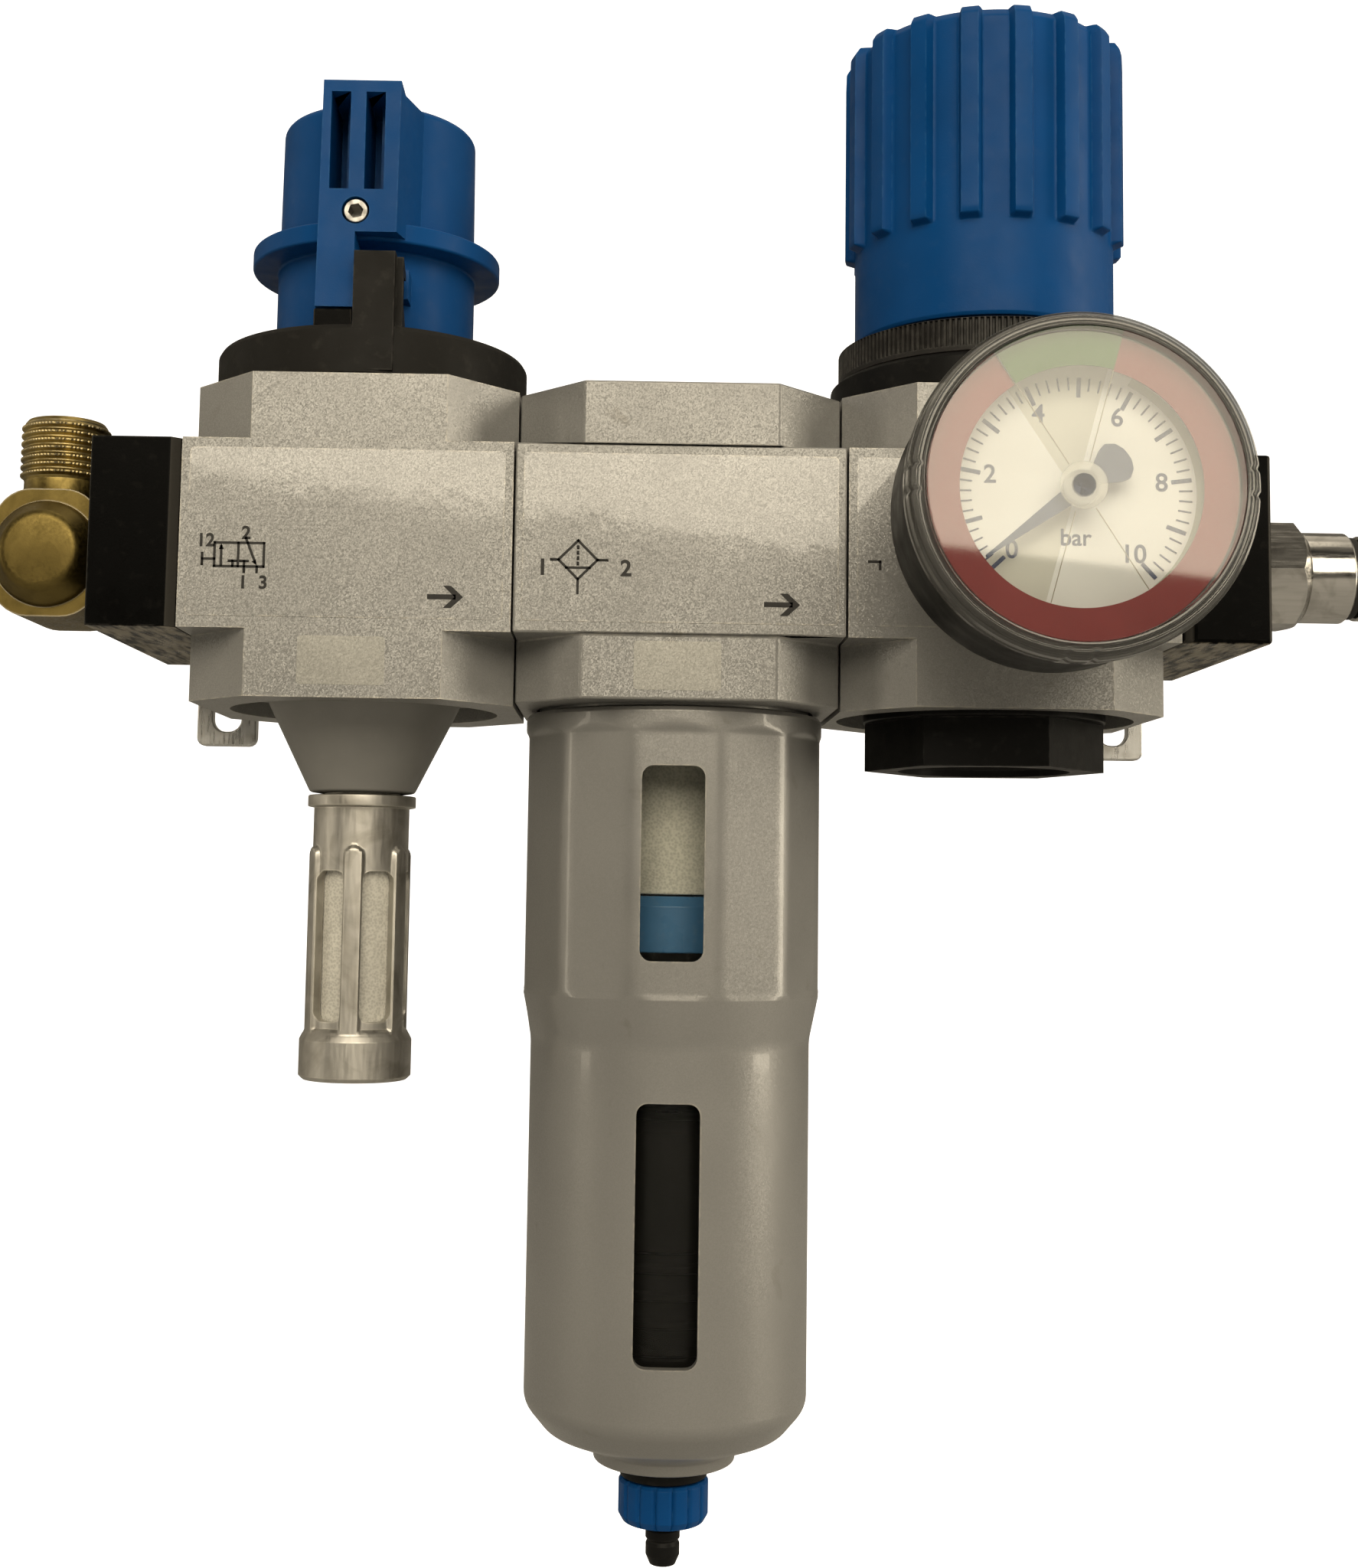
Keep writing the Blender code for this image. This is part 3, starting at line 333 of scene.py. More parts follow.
class Recipe:
    """A procedural material on a Principled shader, patterned in the frame's own coordinates."""

    def __init__(self, name, colour, roughness, metallic=0.0):
        self.material = bpy.data.materials.new(name)
        self.material.use_nodes = True
        self.material.diffuse_color = (*colour, 1.0)
        self.tree = self.material.node_tree
        self.shader = self.tree.nodes["Principled BSDF"]
        self.shader.inputs["Base Color"].default_value = (*colour, 1.0)
        self.shader.inputs["Roughness"].default_value = roughness
        self.shader.inputs["Metallic"].default_value = metallic
        self.where = self.node("TexCoord").outputs["Object"]
        self.colour = (*colour, 1.0)
        self.roughness = roughness
        self.normal = None

    def node(self, kind, options=None, **inputs):
        made = self.tree.nodes.new("ShaderNode" + kind)
        for key, value in (options or {}).items():
            setattr(made, key, value)
        for key, value in inputs.items():
            self.feed(made.inputs[key], value)
        return made

    def feed(self, socket, value):
        if isinstance(value, bpy.types.NodeSocket):
            self.tree.links.new(value, socket)
        else:
            socket.default_value = value

    def stretched(self, scale):
        """The coordinates with each axis scaled, for a pattern that runs one way."""
        return self.node("Mapping", Vector=self.where, Scale=scale).outputs["Vector"]

    def noise(self, size, detail=2.0, where=None, distortion=0.0):
        """Noise whose features are about this many millimetres across."""
        made = self.node("TexNoise", Vector=where or self.where, Scale=1 / (size * MM), Detail=detail)
        made.inputs["Distortion"].default_value = distortion
        return made.outputs["Fac"]

    def between(self, value, start, end, low=0.0, high=1.0):
        """Maps start..end of a value to low..high, and holds it there outside."""
        made = self.node("MapRange", Value=value)
        for key, number in (("From Min", start), ("From Max", end), ("To Min", low), ("To Max", high)):
            made.inputs[key].default_value = number
        return made.outputs["Result"]

    def maths(self, operation, first, second):
        made = self.node("Math", {"operation": operation})
        self.feed(made.inputs[0], first)
        self.feed(made.inputs[1], second)
        return made.outputs[0]

    def mix(self, factor, other, blend):
        made = self.node("Mix", {"data_type": "RGBA", "blend_type": blend})
        for index, value in ((0, factor), (6, self.colour), (7, other)):
            self.feed(made.inputs[index], value)
        self.colour = made.outputs[2]

    def tint(self, factor, colour):
        """Mixes another colour over the base where the factor is high."""
        self.mix(factor, (*colour, 1.0), "MIX")

    def shade(self, factor, low, high):
        """Multiplies the base by a grey that runs from low to high with the factor."""
        self.mix(1.0, self.between(factor, 0.3, 0.7, low, high), "MULTIPLY")

    def rough(self, factor, low, high):
        self.roughness = self.between(factor, 0.3, 0.7, low, high)

    def bump(self, height, depth, strength=1.0):
        """Raises the surface by this many millimetres where the height is one."""
        made = self.node("Bump", Height=height, Strength=strength, Distance=depth * MM)
        if self.normal is not None:
            self.feed(made.inputs["Normal"], self.normal)
        self.normal = made.outputs["Normal"]

    def height(self, start, end):
        """Runs from 0 to 1 between two heights in the frame, in millimetres."""
        return self.between(self.node("SeparateXYZ", Vector=self.where).outputs["Z"], start * MM, end * MM)

    def vector(self, operation, *values):
        made = self.node("VectorMath", {"operation": operation})
        for socket, value in zip(made.inputs, values):
            self.feed(socket, value)
        return made.outputs

    def edges(self, width):
        """High along the edges, found by how far a rounded normal leans from the true one."""
        soft = self.node("Bevel", {"samples": 6}, Radius=width * MM).outputs["Normal"]
        true = self.node("NewGeometry").outputs["Normal"]
        return self.between(self.vector("DOT_PRODUCT", soft, true)["Value"], 0.995, 0.93)

    def flakes(self, size, lean):
        """Tilts the normal cell by cell, as the metal flakes in a paint do."""
        cells = self.node("TexVoronoi", Vector=self.where, Scale=1 / (size * MM)).outputs["Color"]
        centred = self.vector("SUBTRACT", cells, (0.5, 0.5, 0.5))[0]
        tilt = self.vector("MULTIPLY", centred, (lean, lean, lean))[0]
        total = self.vector("ADD", tilt, self.node("NewGeometry").outputs["Normal"])[0]
        self.normal = self.vector("NORMALIZE", total)[0]
        return cells

    def done(self):
        self.feed(self.shader.inputs["Base Color"], self.colour)
        self.feed(self.shader.inputs["Roughness"], self.roughness)
        if self.normal is not None:
            self.feed(self.shader.inputs["Normal"], self.normal)
        return self.material


def silver_paint(name, colour=(0.262, 0.260, 0.252), sparkle=0.2, scuffs=0.3, coat=0.0):
    """Die-cast metal in a silver paint full of metal flakes, a little dirty, worn at its edges."""
    paint = Recipe(name, colour, 0.36, 0.4)
    cells = paint.flakes(0.18, sparkle)
    paint.shade(cells, 1 - sparkle * 0.3, 1 + sparkle * 0.3)
    paint.shade(paint.noise(38, 3), 0.94, 1.05)
    paint.tint(
        paint.between(paint.noise(5.5, 6, distortion=0.6), 0.66, 0.74, 0.0, scuffs), (0.10, 0.085, 0.06)
    )
    worn = paint.maths(
        "MULTIPLY", paint.edges(0.5), paint.between(paint.noise(1.6, 3), 0.4, 0.62, 0.0, 0.7)
    )
    paint.tint(worn, (0.46, 0.43, 0.37))
    paint.rough(paint.noise(9, 4), 0.33, 0.42)
    if coat:
        paint.shader.inputs["Coat Weight"].default_value = coat
        paint.shader.inputs["Coat Roughness"].default_value = 0.05
        waves = paint.node("Bump", Height=paint.noise(7, 4), Strength=1.0, Distance=0.03 * MM)
        paint.feed(paint.shader.inputs["Coat Normal"], waves.outputs["Normal"])
    return paint.done()


def moulded(
    name, colour, roughness, grain=0.012, wear=(0.0, (0.5, 0.5, 0.5)), dust=0.0, gloss=0.25, painted_sheen_and_scratches=False
):
    """Moulded plastic: a fine matt grain, shiny and matt patches, faint dust, scuffed edges, and on request a
    painted sheen: a streaked painted reflection on downward faces and a painted highlight on slanted side
    faces.
    """
    plastic = Recipe(name, colour, roughness)
    plastic.shader.inputs["Specular IOR Level"].default_value = gloss
    plastic.shade(plastic.noise(14, 3), 0.93, 1.08)
    plastic.rough(plastic.noise(4.5, 5), roughness - 0.06, roughness + 0.1)
    amount, worn = wear
    if amount:
        patchy = plastic.between(plastic.noise(1.8, 4), 0.42, 0.62, 0.0, amount)
        plastic.tint(plastic.maths("MULTIPLY", plastic.edges(0.45), patchy), worn)
    if dust:
        plastic.tint(plastic.between(plastic.noise(2.2, 8), 0.58, 0.78, 0.0, dust), (0.45, 0.42, 0.36))
    # Painted sheen: pale streaks on downward faces are a painted reflection of the floor, and slanted side
    # faces get a painted highlight.
    if painted_sheen_and_scratches:
        facing = plastic.node("SeparateXYZ", Vector=plastic.node("NewGeometry").outputs["Normal"])
        under = plastic.between(facing.outputs["Z"], -0.7, -0.95)
        lines = plastic.between(plastic.noise(1.2, 7, plastic.stretched((1.0, 0.15, 1.0))), 0.4, 0.58)
        plastic.tint(plastic.maths("MULTIPLY", under, lines), (0.24, 0.215, 0.17))
        # Painted highlight on slanted side faces, such as the plates' broad chamfers.
        aside = plastic.maths("ABSOLUTE", facing.outputs["X"], 0.0)
        chamfer_highlight = plastic.maths(
            "MULTIPLY", plastic.between(aside, 0.25, 0.4), plastic.between(aside, 0.9, 0.75)
        )
        plastic.tint(plastic.maths("MULTIPLY", chamfer_highlight, 0.8), (0.05, 0.047, 0.042))
    plastic.bump(plastic.noise(0.28, 2), grain)
    return plastic.done()


def metal(
    name, colour, roughness, tarnish_and_shade, amount, brushed=None, wear=0.0, spread=(0.46, 0.66), size=6.0,
    shaded_below=None,
):
    """Bare or plated metal with tarnished patches and fine scratches, and a painted shade that darkens it
    below a given height.
    """
    plate = Recipe(name, colour, roughness, 1.0)
    plate.tint(
        plate.between(plate.noise(size, 7, distortion=0.8), spread[0], spread[1], 0.0, amount), tarnish_and_shade
    )
    # Painted shade: below the given height the metal is mixed towards the tarnish colour, darker on its lower
    # part.
    if shaded_below:
        plate.tint(plate.maths("MULTIPLY", plate.height(shaded_below + 2.5, shaded_below), 0.78), tarnish_and_shade)
    lines = plate.noise(0.5, 3, plate.stretched(brushed or (1.0, 1.0, 0.08)))
    plate.rough(lines, max(roughness - 0.07, 0.04), roughness + 0.12)
    plate.shade(lines, 0.93, 1.06)
    if wear:
        plate.tint(plate.maths("MULTIPLY", plate.edges(0.5), wear), (0.85, 0.82, 0.74))
    plate.bump(lines, 0.006)
    plate.bump(plate.noise(3.5, 6), 0.03)
    return plate.done()


def porous(name, colour):
    """Sintered plastic: open grains under a dusty face."""
    block = Recipe(name, colour, 0.85)
    grains = block.node("TexVoronoi", Vector=block.where, Scale=1 / (0.45 * MM)).outputs["Distance"]
    block.shade(grains, 0.84, 1.08)
    block.shade(block.noise(7, 4), 0.88, 1.06)
    block.bump(grains, 0.06)
    return block.done()


def clear_plastic(name, tint, body=0.02, roughness=0.05, waves=0.0, facing_gloss=0.045):
    """Clear plastic: light passes straight on, with a Fresnel gloss and a faint body colour of its own."""
    glass = Recipe(name, tint, roughness)
    glass.shader.inputs["Specular IOR Level"].default_value = 0.2
    if waves:
        glass.bump(glass.noise(3.0, 2), waves)
    glass.shade(glass.noise(6, 4), 0.9, 1.05)
    material = glass.done()
    through = glass.node("BsdfTransparent", Color=(0.96, 0.965, 0.95, 1.0))
    gloss = glass.node("BsdfGlossy", Roughness=roughness)
    grazing = glass.maths("POWER", glass.node("LayerWeight", Blend=0.5).outputs["Facing"], 5.0)
    fresnel = glass.between(grazing, 0.0, 1.0, facing_gloss, 1.0)
    surface = glass.node("MixShader", Fac=body)
    glass.feed(surface.inputs[1], through.outputs[0])
    glass.feed(surface.inputs[2], glass.shader.outputs[0])
    whole = glass.node("MixShader", Fac=fresnel)
    glass.feed(whole.inputs[1], surface.outputs[0])
    glass.feed(whole.inputs[2], gloss.outputs[0])
    glass.feed(glass.tree.nodes["Material Output"].inputs["Surface"], whole.outputs[0])
    return material


MATERIALS = {
    "silver_paint": silver_paint("silver_paint", (0.245, 0.243, 0.236), 0.08, 0.2, 0.4),
    "black_plastic": moulded(
        "black_plastic", (0.0065, 0.0065, 0.0065), 0.4, 0.014, (0.4, (0.06, 0.058, 0.055)), 0.02, 0.1
    ),
    "blue_plastic": moulded(
        "blue_plastic", (0.002, 0.056, 0.205), 0.42, 0.012, (0.35, (0.04, 0.15, 0.33)), 0.01, 0.10
    ),
    "grey_plastic": moulded(
        "grey_plastic", (0.215, 0.212, 0.202), 0.42, 0.008, (0.3, (0.3, 0.29, 0.27)), 0.06, 0.35
    ),
    "white_plastic": porous("white_plastic", (0.60, 0.585, 0.53)),
    "clear_plastic": clear_plastic("clear_plastic", (0.42, 0.42, 0.40)),
    "aluminium": metal(
        "aluminium", (0.52, 0.505, 0.47), 0.42, (0.30, 0.28, 0.245), 0.6, (1.0, 1.0, 0.10), 0.6
    ),
    "zinc_plated_steel": metal("zinc_plated_steel", (0.60, 0.60, 0.59), 0.30, (0.3, 0.28, 0.25), 0.5),
    "nickel_plate": metal(
        "nickel_plate", (0.52, 0.51, 0.49), 0.13, (0.22, 0.21, 0.19), 0.6, (0.08, 1.0, 1.0)
    ),
    # Brass, with a painted shade on its lower part.
    "brass": metal(
        "brass", (0.38, 0.285, 0.092), 0.40, (0.085, 0.062, 0.019), 0.7, (1.0, 1.0, 1.0), 0.25,
        (0.4, 0.62), shaded_below=10.8,
    ),
    "rubber": moulded("rubber", (0.018, 0.018, 0.018), 0.7, 0.02),
    "dial_face": moulded("dial_face", (0.86, 0.87, 0.90), 0.55, 0.003, gloss=0.1),
    "red_plastic": moulded("red_plastic", (0.24, 0.040, 0.044), 0.45, 0.004, gloss=0.1),
    "green_plastic": moulded("green_plastic", (0.040, 0.130, 0.018), 0.45, 0.004, gloss=0.1),
}
BODY_FINISH = silver_paint("silver_housing")
LABEL_FINISH = silver_paint("label_film", scuffs=0.1, coat=1.0)
STICKER_FINISH = silver_paint("sticker_film", (0.32, 0.315, 0.29), 0.1, 0.05, 0.4)
# The end plates' plastic, with a painted reflection on its undersides and a painted highlight on its
# chamfers.
PLATE_FINISH = moulded(
    "plate_plastic", (0.0016, 0.0016, 0.0015), 0.28, 0.01, (0.5, (0.08, 0.077, 0.07)), 0.01, 0.03, True
)
SCREW_FINISH = metal("screw_steel", (0.40, 0.39, 0.37), 0.38, (0.10, 0.095, 0.085), 0.7, size=2.0)
# A darker, duller copy of the black plastic for the drain seen through the guard's lower window: painted
# shade inside the guard.
SHADED_DRAIN_FINISH = moulded("drain_plastic_painted_shade", (0.0022, 0.0021, 0.0020), 0.35, 0.0004, gloss=0.03)
RING_FINISH = moulded(
    "ring_plastic", (0.022, 0.021, 0.020), 0.45, 0.01, (0.5, (0.10, 0.097, 0.09)), 0.03, 0.15
)
COLLAR_FINISH = moulded(
    "collar_plastic", (0.014, 0.0135, 0.0125), 0.5, 0.016, (0.4, (0.08, 0.077, 0.07)), 0.02, 0.08
)
BAFFLE_FINISH = moulded("baffle_plastic", (0.05, 0.155, 0.32), 0.3, 0.006, dust=0.1, gloss=0.4)
INK = moulded("printing_ink", (0.022, 0.021, 0.020), 0.5, 0.003)
DIAL_INK = moulded("dial_ink", (0.075, 0.095, 0.19), 0.5, 0.003)
POINTER_FINISH = moulded("pointer_paint", (0.07, 0.095, 0.18), 0.4, 0.003)
BAND_FINISH = moulded("dial_band_ink", (0.45, 0.47, 0.40), 0.5, 0.003)
EDGE_FINISH = moulded("disc_edge", (0.34, 0.31, 0.26), 0.4, 0.003)
SHADE_FINISH = moulded("dial_shade", (0.66, 0.66, 0.63), 0.55, 0.003, gloss=0.1)
LENS_FINISH = clear_plastic("lens_plastic", (0.42, 0.42, 0.40), 0.02, 0.03, 0.0, 0.052)
RIM_FINISH = clear_plastic("rim_plastic", (0.045, 0.043, 0.04), 0.5, 0.14, 0.0, 0.06)
BOWL_FINISH = clear_plastic("bowl_plastic", (0.42, 0.42, 0.40), 0.008, 0.04, 0.0, 0.008)
HUB_FINISH = clear_plastic("hub_plastic", (0.5, 0.49, 0.48), 0.35, 0.1)


# --- Housings, end plates and what joins them ---------------------------------------------------------------


def at(module, height=0.0):
    return (module.x, AXIS_Y, height)


def housing(node, module, corner, band, cuts, bevel):
    """A housing with cut upright corners above and below the full-width band around its ports."""
    half = BODY_WIDTH / 2
    low, high = FRONT_Y, REAR_Y
    outline = [(-half + corner, low), (half - corner, low), (half, low + corner), (half, high - corner)]
    outline += [(-x, high + low - y) for x, y in outline]
    block = prism(outline, module.low.z, module.high.z, (module.x, 0, 0))
    belt = box((module.x - half, low - 0.02, -band), (module.x + half, high + 0.02, band))
    fine(node, block, "silver_paint", joins=[belt], cuts=cuts, bevel=bevel, finish=BODY_FINISH, segments=4)


def housings():
    """The three housings, each hollowed by upright bores given as (radius, low, high)."""
    corner, band = 11.2, 15.8
    for node, module, bevel, bores in (
        (
            "shutoff_body", SHUTOFF, 0.8,
            ((18.0, 12, 40), (14.0, -2, 12.5), (20.0, -21, -5), (23.5, -40, -20)),
        ),
        ("filter_body", FILTER, 1.1, ((24.4, -40, -19), (21.2, -20, -9.5))),
        (
            "regulator_body", REGULATOR, 0.9,
            ((23.0, 19, 40), (14.0, -3, 19.5), (19.0, -24, -6), (26.0, -40, -23)),
        ),
    ):
        cuts = [rod(radius, low, high, at(module)) for radius, low, high in bores]
        if module is REGULATOR:
            cuts.append(rod(5.5, 10, 60, at(module), "-Y"))
        housing(node, module, corner, band, cuts, bevel)


def end_plate(word, side):
    """A black plate whose edge towards the modules is cut back in a broad chamfer."""
    plate = span(f"{word}_plate")
    inner = plate.high.x if side < 0 else plate.low.x
    outer = plate.low.x if side < 0 else plate.high.x
    outline = [
        (inner, REAR_Y), (inner, FRONT_Y + 1.2), (inner + side * 1.6, FRONT_Y), (outer, FRONT_Y),
        (outer, REAR_Y),
    ]
    port = rod(PORT_RADIUS + 1, plate.low.x - 1, plate.high.x + 1, (0, AXIS_Y, 0), "X")
    cuts = [port]
    if side < 0:
        for node in ("tie_rod_upper", "tie_rod_lower"):
            head = span(node)
            cuts.append(rod(3.7, plate.low.x - 1, plate.low.x + 4.3, (0, head.y, head.z), "X", steps=48))
    body = prism(outline, plate.low.z, plate.high.z)
    fine(f"{word}_plate", body, "black_plastic", cuts=cuts, bevel=0.7, finish=PLATE_FINISH)


def wall_bracket(word):
    strip = span(f"{word}_wall_bracket")
    half_width = (strip.high.x - strip.low.x) / 2
    half_height = (strip.high.z - strip.low.z) / 2
    outline = rectangle(-half_width, half_width, -half_height, half_height)
    slots = [
        prism(rectangle(-2.7, 2.7, z - 4.5, z + 4.5), -1, 4, (strip.x, 0, 0), "-Y", 2.4, 6)
        for z in (-24.0, 24.0)
    ]
    hole = rod(4.4, -1, 4, (strip.x, 0, 0), "-Y", steps=48)
    plate = prism(outline, 0, strip.high.y - strip.low.y, (strip.x, strip.high.y, 0), "-Y", 1.6)
    fine(f"{word}_wall_bracket", plate, "zinc_plated_steel", cuts=[*slots, hole], bevel=0.35)


def bracket_screw(word):
    screw = span(f"{word}_bracket_screw")
    profile = [(0, 10.5), (2.0, 10.5), (2.0, 2.4), (4.0, 1.9), (4.0, 0.3), (1.9, 0.3), (1.7, 1.2), (0, 1.2)]
    fine(
        f"{word}_bracket_screw", lathe(profile, (screw.x, 0, 0), "-Y", 0.15, steps=48), "zinc_plated_steel"
    )


def tie_rod(node):
    rod_box = span(node)
    start, end = rod_box.low.x, rod_box.high.x
    profile = [(0, end), (2.0, end), (2.0, start + 4.0), (3.2, start + 4.0), (3.2, start), (0, start)]
    place = (0, rod_box.y, rod_box.z)
    socket = prism(hexagon(1.7), start - 1, start + 2.0, place, "X")
    fine(node, lathe(profile, place, "X", 0.25, steps=48), "zinc_plated_steel", cuts=[socket])


def port_seal(node):
    seal = span(node)
    low, high = seal.low.x, seal.high.x
    profile = [(9.0, high), (11.0, high), (11.0, low), (9.0, low)]
    fine(node, lathe(profile, (0, AXIS_Y, 0), "X", 0.6, True), "rubber")


def elbow():
    """A brass elbow: a forged knuckle with a round boss, a smooth neck, and a thread knurled for sealant."""
    node = "elbow_fitting"
    x, top = -110.0, span(node).high.z
    plate_face = span("left_plate").low.x
    pitch, ridges, notches = 1.42, 7, 216
    profile = [(0, top), (6.7, top, 0.3), (7.2, top - 0.7)]
    for ridge in range(ridges):
        z = top - 0.9 - ridge * pitch
        profile += [(7.15, z, 0.1), (7.75, z - 0.45, 0.12), (7.75, z - 0.75, 0.12), (7.15, z - 1.2, 0.1)]
    profile += [(7.0, 13.2), (7.1, 10.6), (6.9, 8.0), (0, 8.0)]

    def knurled(radius, angle, height):
        notch = 0.16 if radius > 7.5 and int(angle / (2 * pi) * notches) % 3 == 0 else 0.0
        return radius - notch

    place = (x, AXIS_Y, 0)
    neck = lathe(profile, place, "Z", 0.1, steps=notches, shape=knurled)
    knuckle = prism(rectangle(-9.4, 9.4, -11.9, 10.6), -10, 9.4, place, "-Y", 6.6, 8)
    boss_profile = [(0, 14.3), (6.6, 13.9, 2.2), (9.3, 10.4, 3.2), (9.35, 0), (0, 0)]
    boss = lathe(boss_profile, (x, AXIS_Y, -0.9), "-Y", 0.5)
    arm = rod(PORT_RADIUS + 0.6, 0, plate_face + 11 - x, place, "X")
    collar = rod(9.0, 4, plate_face - 0.3 - x, place, "X", 0.4)
    up_bore = rod(4.6, 0, 30, place, "Z")
    side_bore = rod(4.6, -3, 40, place, "X")
    fine(node, neck, "brass", joins=[knuckle, boss, arm, collar], cuts=[up_bore, side_bore], sharp=40)


def push_fit():
    """A nickel-plated push-in fitting: its hexagon and sleeve, and the wiper and collar in its mouth."""
    place = (0, AXIS_Y, 0)
    plate_face = span("right_plate").high.x
    start = plate_face - 11
    sleeve = [
        (0, 119.6), (7.6, 119.6, 0.3), (8.1, 119.0, 0.3), (8.1, 111.4, 0.1), (7.6, 110.9, 0.1), (7.6, start)
    ]
    sleeve += [(0, start)]
    flats = prism(hexagon(10.4, 30), plate_face + 0.3, 111.2, place, "X")
    cone = lathe(
        [(0, 111.0), (8.3, 111.0), (10.6, 108.9), (10.6, plate_face), (0, plate_face)], place, "X", 0.1
    )
    nut = scene_object("hexagon", flats)
    combined(nut, [cone], "INTERSECT")
    hexagon_part = bmesh.new()
    hexagon_part.from_mesh(nut.data)
    bmesh.ops.scale(hexagon_part, vec=(1 / MM,) * 3, verts=hexagon_part.verts)
    bpy.data.objects.remove(nut)
    bores = [rod(4.0, 60, 109, place, "X"), rod(6.4, 108, 130, place, "X")]
    fine(
        "push_fit_body", lathe(sleeve, place, "X", 0.1), "nickel_plate", joins=[hexagon_part], cuts=bores,
        sharp=25,
    )
    mouth = lathe([(6.35, 119.5), (7.35, 119.5), (7.35, 121.0), (6.35, 121.0)], place, "X", 0.3, True)
    collar = span("release_collar")
    end = collar.high.x
    fold_start, fold_end = (119.5 * MM, AXIS_Y * MM, 0), ((end - 3.6) * MM, AXIS_Y * MM, 0)
    piece("push_fit_wiper", mouth, "rubber", "unit", fold=("release_collar", fold_start, fold_end))
    profile = [(4.1, end), (6.6, end, 0.8), (7.6, end - 1.2, 0.8), (7.6, end - 3.4, 0.3), (6.1, end - 3.6)]
    profile += [(6.1, collar.low.x), (4.1, collar.low.x)]
    fine("release_collar", lathe(profile, place, "X", 0.2, True), "nickel_plate")


def ends_and_fittings():
    for word, side in (("left", -1), ("right", 1)):
        end_plate(word, side)
        wall_bracket(word)
        bracket_screw(word)
    tie_rod("tie_rod_upper")
    tie_rod("tie_rod_lower")
    for count in range(1, 5):
        port_seal(f"port_seal_{count}")
    elbow()
    push_fit()


# --- Shut-off valve -----------------------------------------------------------------------------------------


def coil(node, radius, wire, turns, low, high, place):
    """A coil spring of round wire, baked where it stands and joined to no body."""
    curve = bpy.data.curves.new(f"{node}_curve", "CURVE")
    curve.dimensions = "3D"
    curve.bevel_depth = wire * MM
    curve.bevel_resolution = 4
    curve.use_fill_caps = True
    spline = curve.splines.new("POLY")
    count = turns * 28 + 1
    spline.points.add(count - 1)
    for index, point in enumerate(spline.points):
        angle = 2 * pi * index / 28
        height = low + wire + (high - low - 2 * wire) * index / (count - 1)
        x, y = place[0] + radius * cos(angle), place[1] + radius * sin(angle)
        point.co = (x * MM, y * MM, height * MM, 1.0)
    swept = linked(f"{node}_curve", curve)
    mesh = applied(swept)
    bpy.data.objects.remove(swept)
    made = linked(f"{node}_fine", mesh)
    mesh.materials.clear()
    mesh.materials.append(MATERIALS["zinc_plated_steel"])
    for polygon in mesh.polygons:
        polygon.use_smooth = True
    x, y = place[0] * MM, place[1] * MM
    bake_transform(made)
    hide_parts(node)


def shutoff_collar():
    """The black ring under the knob, with a tab in front that the knob's leg stops against."""
    x = SHUTOFF.x
    ring = span("shutoff_collar")
    low, top = ring.low.z, 35.8
    profile = [(19.2, low), (19.2, top), (26.9, top, 0.7), (27.5, top - 1.0, 0.7), (27.5, low)]
    body = lathe(profile, at(SHUTOFF), "Z", 0.3, True, 128)
    left, right, tab_top = x - 0.2, x + 6.7, ring.high.z
    front = AXIS_Y - 27.4
    tab = box((left, front, low + 0.6), (right, front + 2.4, tab_top))
    rib_outline = [
        (front + 2.0, low + 2), (front + 2.0, tab_top - 0.4), (front + 5.6, tab_top - 2.4),
        (front + 5.6, tab_top - 3.4),
    ]
    rib_outline += [
        (front + 3.2, tab_top - 3.4), (front + 3.2, 39.8), (front + 5.8, 37.4), (front + 5.8, low + 2)
    ]
    rib = prism([(-z, y) for y, z in rib_outline], right - 1.7, right + 1.2, (0, 0, 0), "X")
    fine(
        "shutoff_collar", body, "black_plastic", joins=[tab, rib], bevel=0.3, sharp=50, finish=COLLAR_FINISH
    )
    # Painted shadow: a block in the darkest black fills the gap under the knob's leg, where there is only
    # shade.
    step = box((x - 7.0, AXIS_Y - 25.5, top - 0.1), (x - 0.6, AXIS_Y - 19.7, 38.8))
    piece("shadow_block_under_leg", step, "black_plastic", "unit", bevel=0.3, finish=PLATE_FINISH)


